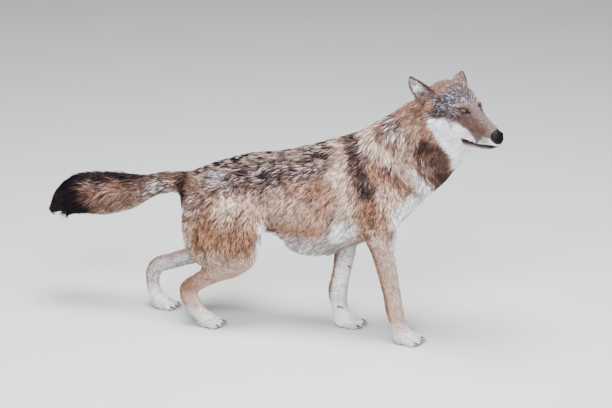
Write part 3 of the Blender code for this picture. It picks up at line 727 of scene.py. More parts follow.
def paint_legs(m):
    """Tan outer sides of the legs, pale fronts and inner sides, white toes."""
    x, y, z = m.points.T
    region = m.region
    legs = np.clip(region["forearm"] + region["shank"] + region["paw"]
                   + region["arm"] * fall(z, 0.36, 0.42)
                   + region["thigh"] * fall(z, 0.24, 0.3), 0, 1)
    inner = ramp(-np.sign(y - 0.012) * m.normals[:, 1], 0.05, 0.6)
    outer = 1.0 - inner
    forward = m.facing(1, 0.3, 0.85)
    m.lay("cream", legs * 0.5)
    m.lay("rust", legs * outer * m.facing(-1, 0.2, 0.8) * 0.38)
    m.lay("white", legs * forward * 0.26)
    m.lay("white", legs * inner * 0.7)
    m.lay("grey", legs * inner * ramp(-x, 0.05, 0.1) * 0.42)
    m.lay("cream", legs * m.side((-225, 215), (32, 34), 0, 0.6) * 0.55)
    m.lay("tan", legs * forward * ramp(x, 0.1, 0.2) * fall(z, 0.25, 0.3) * 0.45)
    m.lay("white", region["paw"] * fall(z, 0.045, 0.085) * 0.52)
    back = m.facing(-1, 0.15, 0.75) * ramp(z, 0.07, 0.11)
    m.lay("tan", legs * back * 0.85)
    m.lay("rust", legs * back * 0.6)
    shin = m.facing(3, 0.25, 0.75) * ramp(z, 0.1, 0.14)
    m.lay("tan", np.clip(region["shank"] + region["thigh"] * (z < 0.3), 0, 1) * shin * 0.65)
    m.lay("tan", legs * m.side((-250, 150), (40, 34), 0, 0.6) * outer * 0.8)
    m.lay("rust", legs * m.side((-262, 158), (34, 34), 0, 0.6) * outer * 0.55)
    pads = m.facing(-3, 0.55, 0.85) * fall(z, 0.006, 0.012) * region["paw"]
    m.lay("bare", np.clip(pads, 0, 1))
    m.lay("dark", legs * m.side((236, 200), (5, 8), 60) * inner * 0.8)


def paint_eyes(m, head, settings):
    """Black rims, inner and outer corners, and a dark surround."""
    for side in SIDES:
        edge, a, b, out = lid_gap(m.head, side, settings)
        close = (np.hypot(a, b) < 0.03) & (out > 0.0)
        rim = fall(edge, 0.0028, 0.0046)
        duct = fall(np.hypot((a - 0.0175) / 0.0085, (b + 0.0014) / 0.0036), 0.7, 1.3)
        tail = fall(np.hypot((a + 0.0165) / 0.0085, (b - 0.0008) / 0.0024), 0.7, 1.3)
        m.lay("dark", close * fall(edge, 0.0042, 0.0085) * 0.72)
        m.lay("bare", close * np.clip(rim + duct + tail, 0, 1))
    far = head * (m.head[:, 1] > 0)
    m.lay("dark", far * m.face((12, 26, 1), (10, 9, 8), 0.6) * 0.9)


def paint_head(m, settings):
    """Crown, mask, brows, cheeks, muzzle, lips and painted shade in the fold at the ear's
    base.
    """
    fwd, wide, up = m.mirrored.T
    head = np.clip(m.region["head"] + 0.5 * m.region["ear"], 0, 1)
    crown = np.clip(m.region["head"] * (1.0 - 1.5 * m.region["ear"]), 0, 1)
    m.marks(crown, (("grey", -45, 20, 15, 84, 100, 62, 0.3, 0.96),))
    m.marks(head, (
        ("dark", -52, 10, 40, 30, 26, 20, 0.6, 0.22),
        ("dark", -18, 0, 26, 36, 6, 22, 0.6, 0.42),
        ("dark", -32, 56, -4, 14, 20, 6, 0.7, 0.5),
        ("rust", -98, 14, 45, 34, 50, 34, 0.5, 0.42),
        ("grey", -110, 20, 40, 50, 60, 40, 0.5, 0.4),
        ("rust", -94, 42, 46, 22, 24, 22, 0.6, 0.55)))
    m.marks(m.zone("head", "ear"), (
        ("rust", -105, 74, -22, 28, 36, 26, 0.4, 0.5),
        ("grey", -108, 74, -26, 24, 36, 22, 0.5, 0.42),
        ("tan", -106, 78, -4, 20, 34, 13, 0.6, 0.9),
        # the three dark rows are painted shade in the fold round the ear's base, the first
        # between ear and temple
        ("dark", -74, 68, 16, 5, 24, 13, 0.6, 0.84),
        ("dark", -88, 76, -20, 16, 26, 4, 0.6, 0.7),
        ("dark", -128, 74, -10, 5, 26, 22, 0.6, 0.66)))
    edge = np.interp(fwd, (-0.1, -0.047, 0.0, 0.012, 0.035, 0.05, 0.059, 0.068, 0.082, 0.12),
                     (-0.02, -0.026, -0.036, -0.042, -0.054, -0.072, -0.086, -0.078, -0.061,
                      -0.06))
    mask = ramp(fwd, -0.012, 0.016) * ramp(up - edge, -0.012, -0.004)
    flank = ramp(wide, 0.008, 0.024) * fall(fwd, 0.085, 0.11)
    for layer, share in (("tan", 0.5), ("grey", 0.84), ("rust", 0.08), ("cream", 0.06)):
        m.lay(layer, head * mask * share)
    m.lay("dark", head * mask * flank * 0.66)
    m.marks(head, (
        ("tan", -12, 40, 15, 11, 10, 5, 0.6, 0.8),
        ("tan", 4, 28, 14, 9, 8, 10, 0.6, 0.8)))
    pale = head * fall(up - edge, -0.006, 0.002)
    pale *= fall(-fwd - 0.5 * (up + 0.04), 0.08, 0.094)
    m.lay("white", pale * 0.94)
    m.lay("grey", pale * ramp(ripple(m.points, 150.0, 9), 0.1, 0.55) * 0.14)
    m.marks(head, (
        ("dark", -66, 78, -25, 28, 24, 6, 0.6, 0.7),
        ("grey", -14, 58, -24, 26, 22, 14, 0.6, 0.84),
        ("grey", -18, 62, -42, 8, 20, 12, 0.7, 0.5),
        ("dark", 0, 50, -19, 18, 18, 9, 0.7, 0.62),
        ("cream", 30, 42, -62, 26, 18, 7, 0.6, 0.35),
        ("grey", 80, 26, -72, 28, 18, 12, 0.6, 0.62)))
    line = mouth_height(fwd)
    chin = head * ramp(fwd, 0.006, 0.02) * ramp(line - up, 0.0, 0.004)
    m.lay("dark", chin * fall(line - up, 0.01, 0.02) * 0.8)
    reach = 0.0034 + 0.0084 * fall(fwd, 0.026, 0.072) + 0.0074 * (up < line)
    lips = fall(mouth_gap(m.head), reach, reach + 0.0014)
    m.lay("bare", head * lips * ramp(fwd, 0.003, 0.013))
    paint_eyes(m, head, settings)
    m.lay("bare", head * m.face((120, 0, -54), (28, 32, 24), 0.08))


def paint_ruff(m):
    """Dark brown ruff behind the white of the cheeks and throat."""
    x, _, z = m.points.T
    fwd, wide, up = m.mirrored.T
    share = m.zone("neck", "head", "trunk")
    start = np.interp(z, (0.5, 0.52, 0.56, 0.6, 0.65, 0.71),
                      (0.562, 0.546, 0.522, 0.496, 0.472, 0.446))
    edge = np.interp(up, (-0.26, -0.226, -0.19, -0.145, -0.126, -0.102, -0.074, -0.055, -0.02),
                     (-0.07, -0.055, -0.044, -0.036, -0.045, -0.062, -0.081, -0.1, -0.112))
    flank = np.interp(up, (-0.26, -0.226, -0.19, -0.167, -0.145, -0.126),
                      (0.008, 0.017, 0.036, 0.043, 0.05, 0.08))
    depth = np.maximum(edge - fwd, np.where(up < -0.12, wide - flank, -1.0))
    behind = ramp(depth, -0.006, 0.01) * fall(up, -0.04, -0.016)
    behind = behind * ramp(x - start, -0.014, 0.012)
    throat = fall(depth, -0.012, -0.002) * fall(up, -0.12, -0.09)
    high = ramp(z, 0.65, 0.705)
    m.lay("white", share * throat * ramp(z, 0.505, 0.54) * 0.92)
    m.lay("tan", share * behind * 0.5)
    m.lay("rust", share * behind * (0.68 - 0.34 * high))
    m.lay("grey", share * behind * (0.44 - 0.24 * high))
    m.lay("dark", share * behind * (1.0 - high) * (0.6 - 0.34 * ramp(depth, 0.03, 0.08)))
    m.lay("dark", share * m.side((512, 672), (28, 18), -20, 0.7) * 0.84)
    m.lay("dark", share * behind * m.side((555, 560), (22, 40), -25, 0.8) * 0.3)
    m.lay("cream", share * m.side((478, 708), (22, 28), 0, 0.8) * 0.34)


def paint_ears(m):
    """Brown backs, dark rims and pale hollows with dark streaks; painted shade at the top and
    base of each hollow and under its folded front rim.
    """
    ear = np.clip(m.region["ear"] * 1.3, 0, 1)
    for layer, share in (("rust", 0.74), ("grey", 0.26), ("dark", 0.16)):
        m.lay(layer, ear * share)
    streaks = ramp(ripple(m.points, 230.0, 8), 0.05, 0.45)
    for side in SIDES:
        here, height, front, width, inside = ear_place(m.head, m.normals, side)
        near = ear * here
        share = np.abs(front) / width
        hollow = near * inside * fall(share, 0.62, 0.86)
        fold = ramp(front, 0.006, 0.013) * fall(share, 0.7, 0.95)
        m.lay("grey", near * (1.0 - inside) * 0.46)
        m.lay("white", hollow * 0.92)
        m.lay("dark", hollow * streaks * 0.6)
        # painted shade at the top of the hollow
        m.lay("dark", hollow * ramp(height, 0.066, 0.088) * 0.5)
        # painted shade under the front rim where it folds over the hollow
        m.lay("dark", near * inside * fold * 0.72)
        m.lay("rust", near * ramp(front / width, 0.62, 0.8) * 0.55)
        m.lay("dark", near * ramp(front / width, 0.66, 0.92) * 0.5)
        m.lay("dark", near * ramp(share, 0.88, 1.0) * 0.8)
        m.lay("dark", near * ramp(height, 0.082, 0.098) * 0.62)
        # painted shade deep at the base of the hollow
        m.lay("dark", near * inside * ramp(height, 0.026, 0.012) * 0.4)


def paint(points, normals, region, settings):
    """All markings of the wolf and its painted shade, as shares of each colour."""
    m = MarksAndShade(points, normals, region)
    for part in (paint_body, paint_rear, paint_shoulder, paint_neck, paint_tail, paint_legs,
                 paint_ears):
        part(m)
    paint_head(m, settings)
    paint_ruff(m)
    return m.share


# ---- skin ---------------------------------------------------------------------------
WALL_SHARE = 0.36
WALL_REACH = 0.2
SINK_STEPS = 5


def region_shares(surface):
    """How much each vertex belongs to each region, with soft borders."""
    spots = []
    labels = []
    for number, group in enumerate(REGIONS.values()):
        for node in group:
            bm = clean_copy((node,))
            bmesh.ops.subdivide_edges(bm, edges=bm.edges, cuts=2, use_grid_fill=True)
            for vertex in bm.verts:
                spots.append(vertex.co.copy())
                labels.append(number)
            bm.free()
    tree = KDTree(len(spots))
    for index, spot in enumerate(spots):
        tree.insert(spot, index)
    tree.balance()
    shares = np.zeros((surface.count, len(NAMES)))
    for index, point in enumerate(surface.points.tolist()):
        shares[index, labels[tree.find(point)[1]]] = 1.0
    return surface.smooth(shares, 40)


def middle_line(node, steps, axis):
    """Middles of slices of a node along an axis."""
    points = np.array([v.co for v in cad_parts[node].data.vertices])
    order = np.argsort(points @ np.array(axis))
    return np.array([points[part].mean(axis=0) for part in np.array_split(order, steps)])


def limb_chains():
    """Middle lines of the legs and the tail, from the body outwards."""
    chains = []
    for leg in LEGS:
        lower = "forearm" if leg.startswith("fore") else "shank"
        chains.append(np.concatenate([
            middle_line(f"{leg}_upper", 5, (0, 0, -1)),
            middle_line(f"{leg}_{lower}", 2, (0, 0, -1)),
            middle_line(leg.replace("leg", "paw"), 4, (0.45, 0, -0.9))]))
    chains.append(middle_line("tail", 7, (-1, 0, 0)))
    return chains


def bone_ways(points):
    """Way along the nearest bone of limbs and tail, for each point."""
    ways = np.zeros_like(points)
    best = np.full(len(points), 1e9)
    for chain in limb_chains():
        for gap, span in line_gaps(points, chain):
            near = gap < best
            best[near] = gap[near]
            ways[near] = span / np.linalg.norm(span)
    return ways


def head_ways(points):
    """Way the hair lies on the head: back from the nose, down over the cheeks."""
    fwd, left, up = on_head(points).T
    side = np.tanh(left / 0.02)
    cheek = ramp(-fwd, -0.01, 0.06) * ramp(-up, -0.01, 0.05)
    brow = ramp(-fwd, -0.03, 0.0) * ramp(up, 0.0, 0.02)
    ways = np.stack([-1.0 + 0.35 * cheek,
                     side * (0.22 + 0.15 * brow - 0.1 * cheek),
                     -0.12 - 0.85 * cheek + 0.25 * brow], axis=1)
    return unit(ways) @ HEAD.T


def ear_ways(points, normals):
    """Way the hair lies on an ear: to its tip, and across the hollow from its front rim."""
    ways = np.zeros_like(points)
    local = on_head(points)
    for side in SIDES:
        here, _, front, width, inside = ear_place(local, normals, side)
        rise, across, _ = ear_axes(side)
        fan = inside * ramp(front / width, -0.2, 0.5) * 1.3
        way = rise - np.outer(fan, across * -side)
        ways += here[:, None] * way @ HEAD.T
    return ways


def body_ways(points, normals):
    """Way the hair lies on neck, trunk and upper limbs."""
    flat = points[:, [0, 2]]
    total = np.zeros((len(points), 2))
    for x, z, *way in LIE:
        gap = np.linalg.norm(flat - np.array((x, z)), axis=1)
        total += np.array(way) * (np.exp(-(gap / 0.055) ** 2) + 1e-9)[:, None]
    total = unit(total)
    none = np.zeros(len(points))
    ridge = ramp(normals[:, 2], 0.55, 0.95)[:, None]
    under = ramp(-normals[:, 2], 0.35, 0.85)[:, None]
    front = ramp(points[:, 0], 0.3, 0.4)[:, None]
    sides = np.stack([total[:, 0], none, total[:, 1]], axis=1)
    drop = np.where(points[:, 0] > 0.15, -0.35, -0.12)
    top = unit(np.stack([none - 1.0, none, drop], axis=1))
    low = blend(np.array((-0.97, 0.0, -0.25)), np.array((0.15, 0.0, -0.99)), front)
    fringe = (ramp(0.36 - points[:, 2], 0.0, 0.05) * (1.0 - ridge[:, 0]))[:, None]
    sides = blend(sides, np.array((-0.45, 0.0, -0.9)), fringe * 0.6)
    return blend(blend(sides, top, ridge), low, under * 0.7)


def lie_of_coat(surface, normals, region):
    """Way the hair lies at each vertex, along the surface."""
    points = surface.points
    body = region["neck"] + region["trunk"] + 0.6 * region["arm"] + 0.7 * region["thigh"]
    sag = np.array((0.0, 0.0, -0.3)) * region["tail"][:, None]
    limb = (region["forearm"] + region["shank"] + region["paw"] + region["tail"]
            + 0.4 * region["arm"] + 0.3 * region["thigh"])
    ways = (body[:, None] * body_ways(points, normals)
            + limb[:, None] * bone_ways(points) + sag
            + region["head"][:, None] * head_ways(points)
            + 1.5 * region["ear"][:, None] * ear_ways(points, normals))
    for rounds in (0, 30):
        ways = surface.smooth(unit(ways), rounds)
        ways -= (ways * normals).sum(axis=1, keepdims=True) * normals
    return unit(ways)


def coat_sizes(surface, region, normals):
    """Depth, length, width and cover of the coat at each vertex."""
    table = np.array([COAT[name] for name in NAMES])
    shares = np.stack([region[name] for name in NAMES], axis=1)
    sizes = (shares @ table) / shares.sum(axis=1, keepdims=True)
    x, _, z = surface.points.T
    up = normals[:, 2]
    fwd, _, rise = on_head(surface.points).T
    body = np.clip(region["trunk"] + region["neck"], 0, 1)
    short = region["thigh"] * fall(z, 0.2, 0.3) + region["arm"] * fall(z, 0.3, 0.4)
    cheek = region["head"] * ramp(-fwd, 0.035, 0.085) * fall(rise, -0.03, 0.01)
    hollow = sum(here * inside * fall(height, 0.07, 0.09)
                 for here, height, _, _, inside in
                 (ear_place(on_head(surface.points), normals, side) for side in SIDES))
    for share, row in ((short, COAT["shank"]), (cheek, COAT["cheek"]),
                       (hollow * region["ear"], COAT["hollow"])):
        sizes = blend(sizes, np.array(row), np.clip(share, 0, 1)[:, None])
    belly = body * ramp(-up, 0.2, 0.8) * fall(x, 0.3, 0.36)
    mane = body * ramp(up, 0.35, 0.85) * ramp(x, -0.2, 0.1)
    end = np.clip(region["tail"] * ramp(-x, 0.56, 0.68), 0, 1)
    sizes[:, 0] = blend(sizes[:, 0], 0.006, end)
    tip = np.clip(region["tail"] * ramp(-x, 0.62, 0.7), 0, 1)
    sizes[:, 1] = blend(sizes[:, 1], 0.024, tip)
    sizes[:, 3] = blend(sizes[:, 3], 3.0, tip)
    root = region["tail"] * fall(-x, 0.36, 0.5)
    sizes[:, 0] = blend(sizes[:, 0], 0.011, np.clip(root, 0, 1))
    sizes[:, 1] = blend(sizes[:, 1], 0.04, np.clip(root, 0, 1))
    sizes[:, 0] += belly * 0.004
    sizes[:, 1] += belly * 0.026 + mane * 0.016
    return surface.smooth(sizes, 6)


def wall_thickness(surface, normals):
    """How thick the body is under each vertex, up to a limit."""
    tree = surface.tree()
    reach = np.full(surface.count, WALL_REACH)
    starts = (surface.points - normals * 1e-4).tolist()
    for index, (start, way) in enumerate(zip(starts, (-normals).tolist())):
        hit = tree.ray_cast(start, way, WALL_REACH)
        if hit[0] is not None:
            reach[index] = hit[3]
    thin = 1.0 / reach
    return 1.0 / np.maximum(thin, surface.smooth(thin, 24))


def refine(mesh, chosen):
    """Cut the faces around chosen vertices into four."""
    bm = bmesh.new()
    bm.from_mesh(mesh)
    keep = set(np.flatnonzero(chosen).tolist())
    edges = [e for e in bm.edges if e.verts[0].index in keep and e.verts[1].index in keep]
    bmesh.ops.subdivide_edges(bm, edges=edges, cuts=1, use_grid_fill=True)
    bm.to_mesh(mesh)
    bm.free()


def eye_frame(side):
    """Middle of an eye and its ways: to the inner corner, up, and out along the gaze."""
    out = np.array((GAZE[0], side * GAZE[1], GAZE[2]))
    out /= np.linalg.norm(out)
    inner = -side * np.cross((0, 0, 1), out)
    inner /= np.linalg.norm(inner)
    up = np.cross(out, inner) * -side
    toward = inner * math.cos(EYE_SLANT) - up * math.sin(EYE_SLANT)
    rise = up * math.cos(EYE_SLANT) + inner * math.sin(EYE_SLANT)
    return np.array(EYE_PLACE) * (1, side, 1), toward, rise, out


def lid_gap(local, side, settings):
    """Distance outside an eye's opening, measured flat, and the frame's coordinates."""
    centre, toward, rise, out = eye_frame(side)
    offset = local - centre
    a, b, r = offset @ toward, offset @ rise, offset @ out
    half = np.where(a > 0, *LID_HALVES)
    share = np.clip(1.0 - (a / half) ** 2, 0.0, 1.0)
    upper = settings.lid_opening * share ** 0.75
    lower = LOWER_LID * settings.lid_opening * share ** 0.85
    gap = np.maximum(b - upper, lower - b)
    beyond = np.maximum(np.abs(a) - half, 0.0)
    return np.where(beyond > 0, np.hypot(beyond, b), gap), a, b, r


def carve_eyes(surface, settings):
    """Lids that wrap the eyeballs, open in a slanted almond."""
    local = on_head(surface.points)
    for side in SIDES:
        gap, a, b, r = lid_gap(local, side, settings)
        flat = np.hypot(a, b)
        here = (flat < 0.024) & (r > -0.004)
        ball = np.sqrt(np.maximum(LID_RADIUS ** 2 - flat ** 2, 0.0))
        wanted = np.where(flat < 0.0128, ball, r)
        fade = fall(flat, 0.01, 0.022)
        target = blend(r, np.maximum(wanted, r - 0.004), fade)
        crease = np.exp(-((gap - 0.0052) / 0.0014) ** 2) * (b > 0) * 0.0011
        rim = np.exp(-((gap - 0.0008) / 0.001) ** 2) * 0.0006
        target += (rim - crease) * fade
        target = blend(target, target - LID_DEPTH, fall(gap, -0.0006, 0.0003))
        _, _, _, out = eye_frame(side)
        local[here] += (out[None, :] * (target - r)[:, None])[here]
    surface.points = off_head(local)


def mouth_gap(local):
    """Distance from the mouth line, seen from the side of the head."""
    return line_gap(local[:, [0, 2]], MOUTH)


def carve_face(surface):
    """Mouth line, lips, whisker pads and the folds of the face."""
    local = on_head(surface.points)
    normals = surface.normals() @ HEAD
    fwd, left, up = local.T
    gap = mouth_gap(local)
    front = ramp(fwd, 0.002, 0.014)
    groove = np.exp(-(gap / 0.0016) ** 2) * front * 0.0032
    above = np.exp(-((gap - 0.0042) / 0.0026) ** 2) * front
    lip = above * np.where(up > mouth_height(fwd), 0.0013, 0.0003)
    shift = (lip - groove)[:, None] * normals
    pad = np.exp(-(((fwd - 0.092) / 0.02) ** 2 + ((up + 0.067) / 0.012) ** 2)) * 0.0018
    shift += pad[:, None] * normals
    stop = np.exp(-((fwd - 0.004) / 0.016) ** 2 - (left / 0.01) ** 2) * (up > 0.005) * 0.0022
    shift -= stop[:, None] * normals
    surface.points = off_head(local + shift)


def ear_axes(side):
    """Ways on the head to an ear's tip, across it, and out of its hollow."""
    rise, opening = (np.array(way) for way in EARS[side][1:])
    rise = rise / np.linalg.norm(rise)
    opening = opening - rise * (opening @ rise)
    opening = opening / np.linalg.norm(opening)
    return rise, np.cross(rise, opening), opening


def ear_place(local, normals, side):
    """Which points are on an ear, their height, place toward its front rim, half width
    there, and how far they face out of the hollow."""
    rise, across, opening = ear_axes(side)
    offset = local - np.array(EARS[side][0])
    height, front, deep = offset @ rise, -side * (offset @ across), offset @ opening
    free = np.clip(height / EAR_LENGTH, 0.0, 1.0)
    width = EAR_HALF * np.where(front > 0, np.maximum(1.0 - free ** 1.3, 0.03),
                                np.maximum(1.0 - free ** 2.4, 0.03) ** 0.75)
    here = (height > 0.004) & (height < 0.112)
    here &= (np.abs(front) < 0.05) & (np.abs(deep) < 0.045)
    inside = ramp(normals @ (HEAD @ opening), 0.15, 0.5)
    return here.astype(float), height, front, width, inside


def carve_ears(surface):
    """Hollows that leave a thin wall inside the rim, and the upper ears spread wider."""
    normals = surface.normals()
    local = on_head(surface.points)
    tree = surface.tree()
    dig = np.zeros(surface.count)
    ways = np.zeros_like(local)
    widen = np.zeros_like(local)
    for side in SIDES:
        here, height, front, width, inside = ear_place(local, normals, side)
        opening = HEAD @ ear_axes(side)[2]
        bowl = here * inside * fall(np.abs(front) / width, 0.5, 0.9)
        bowl *= ramp(height, 0.004, 0.026) * fall(height, 0.074, 0.096)
        chosen = np.flatnonzero(bowl > 0.01)
        for index in chosen:
            start = Vector(surface.points[index] - opening * 1e-4)
            hit = tree.ray_cast(start, Vector(-opening), 0.04)
            thick = hit[3] if hit[0] is not None else 0.0
            dig[index] = min(max(thick - EAR_WALL, 0.0), 0.012) * bowl[index]
        ways += (here * inside)[:, None] * opening
        spread = here * ramp(height, 0.05, 0.092) * front * (0.5 if side > 0 else 0.16)
        widen += spread[:, None] * (HEAD @ (ear_axes(side)[1] * -side))
    surface.points += widen - ways * surface.smooth(dig, 3)[:, None]


def draw_in_tail(surface):
    """Bare end of the tail drawn back into the brush."""
    end = ramp(-surface.points[:, 0], 0.69, 0.75)
    surface.points += end[:, None] * np.array((0.01, 0.0, 0.002))


def near_eyes(local, reach):
    """True for points within reach of either eye."""
    near = np.zeros(len(local), bool)
    for side in SIDES:
        centre, _, _, out = eye_frame(side)
        near |= np.linalg.norm(local - centre - out * 0.012, axis=1) < reach
    return near


def in_boxes(points, names, margin):
    """True for points in or near the box of one of some nodes."""
    found = np.zeros(len(points), bool)
    for name in names:
        low, high = (np.array(corner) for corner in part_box(name))
        found |= ((points > low - margin) & (points < high + margin)).all(axis=1)
    return found


def skin_mesh(settings):
    """The flesh as one shell, with finer faces round eyes, lips and ears."""
    bodies = [n for n in FLESH if n not in REGIONS["ear"]]
    whole = clean_copy(bodies + ["eye_left", "eye_right", "nose"], SWELL["body"])
    clean_copy(REGIONS["ear"], SWELL["ear"], whole)
    mesh = thinned(remeshed(whole, "skin", settings.skin_grid), settings)
    for reach, gap in ((0.036, 0.016), (0.026, 0.008), (0.019, 0.0035)):
        surface = Surface(mesh)
        local = on_head(surface.points)
        chosen = near_eyes(local, reach)
        chosen |= (mouth_gap(local) < gap) & (local[:, 0] > -0.01)
        if gap > 0.01:
            chosen |= in_boxes(surface.points, REGIONS["ear"], 0.002)
        refine(mesh, chosen)
    return mesh


def thinned(mesh, settings):
    """The mesh with fewer faces where long coat will hide it."""
    piece = link("thin", mesh, None)
    group = piece.vertex_groups.new(name="hidden")
    points = Surface(mesh).points
    shown = in_boxes(points, ("head", *REGIONS["ear"]), 0.01) | (points[:, 2] <= 0.27)
    group.add(np.flatnonzero(~shown).tolist(), 1.0, "REPLACE")
    step = piece.modifiers.new("thin", "DECIMATE")
    step.ratio = settings.skin_share
    step.vertex_group = "hidden"
    return applied(piece)


def unwrap(piece):
    """A map of the piece's own shape, under the map's name."""
    mesh = piece.data
    mesh.uv_layers.new(name=MAP)
    bpy.ops.object.select_all(action="DESELECT")
    piece.select_set(True)
    bpy.context.view_layer.objects.active = piece
    bpy.ops.object.mode_set(mode="EDIT")
    bpy.ops.mesh.select_all(action="SELECT")
    bpy.ops.uv.smart_project(angle_limit=math.radians(70.0), island_margin=0.001)
    bpy.ops.object.mode_set(mode="OBJECT")


def sink(surface, depth):
    """Draw the surface in by the coat's depth, evening out what lies deep."""
    loose = ramp(depth, 0.004, 0.01)[:, None]
    for _ in range(SINK_STEPS):
        surface.points -= surface.normals() * depth[:, None] / SINK_STEPS
        even = surface.smooth(surface.points, 1)
        surface.points = blend(surface.points, even, loose * 0.5)


class WOLF_OT_skin(bpy.types.Operator):
    """Make the one skin that covers all the flesh"""

    bl_idname = "wolf.skin"
    bl_label = "Skin"

    def execute(self, context):
        settings = context.scene.wolf
        mesh = skin_mesh(settings)
        surface = Surface(mesh)
        surface.points = surface.smooth(surface.points, 4)
        shares = region_shares(surface)
        region = dict(zip(NAMES, shares.T))
        normals = surface.normals()
        sizes = coat_sizes(surface, region, normals)
        depth = np.minimum(sizes[:, 0], wall_thickness(surface, normals) * WALL_SHARE)
        depth = surface.smooth(depth, 8)
        sink(surface, depth)
        carve_ears(surface)
        carve_eyes(surface, settings)
        carve_face(surface)
        draw_in_tail(surface)
        surface.store()
        normals = surface.normals()
        sizes[:, 0] = depth
        ways = lie_of_coat(surface, normals, region)
        marks = paint(surface.points, normals, region, settings)
        write_attribute(mesh, "way", ways)
        write_attribute(mesh, "sizes", sizes)
        for name, share in region.items():
            write_attribute(mesh, f"in_{name}", share)
        write_attribute(mesh, "marks", np.stack(
            [marks[layer] for layer in ("dark", "rust", "cream", "white")], axis=1))
        # painted shade: skin under long coat reads as a lock's root, so coat_colour darkens it
        along = blend(0.52, 0.1, ramp(sizes[:, 1], 0.01, 0.024))
        write_attribute(mesh, "lock", np.stack(
            [marks["grey"], along, np.full(surface.count, 0.45), marks["bare"]], axis=1))
        mesh.shade_smooth()
        piece = link("skin", mesh, skin_material(settings))
        unwrap(piece)
        finish_piece(piece, FLESH)
        return {"FINISHED"}


# ---- coat ---------------------------------------------------------------------------
RINGS = np.array((0.0, 0.36, 0.72, 1.0))
RISE = np.array((-0.05, 0.55, 0.88, 1.0))
GIRTH = np.array((0.75, 1.0, 0.66))
CORNERS = 10


def turned(way, normal, angle):
    """Ways turned about the normals by an angle."""
    across = np.cross(normal, way)
    return way * np.cos(angle)[:, None] + across * np.sin(angle)[:, None]


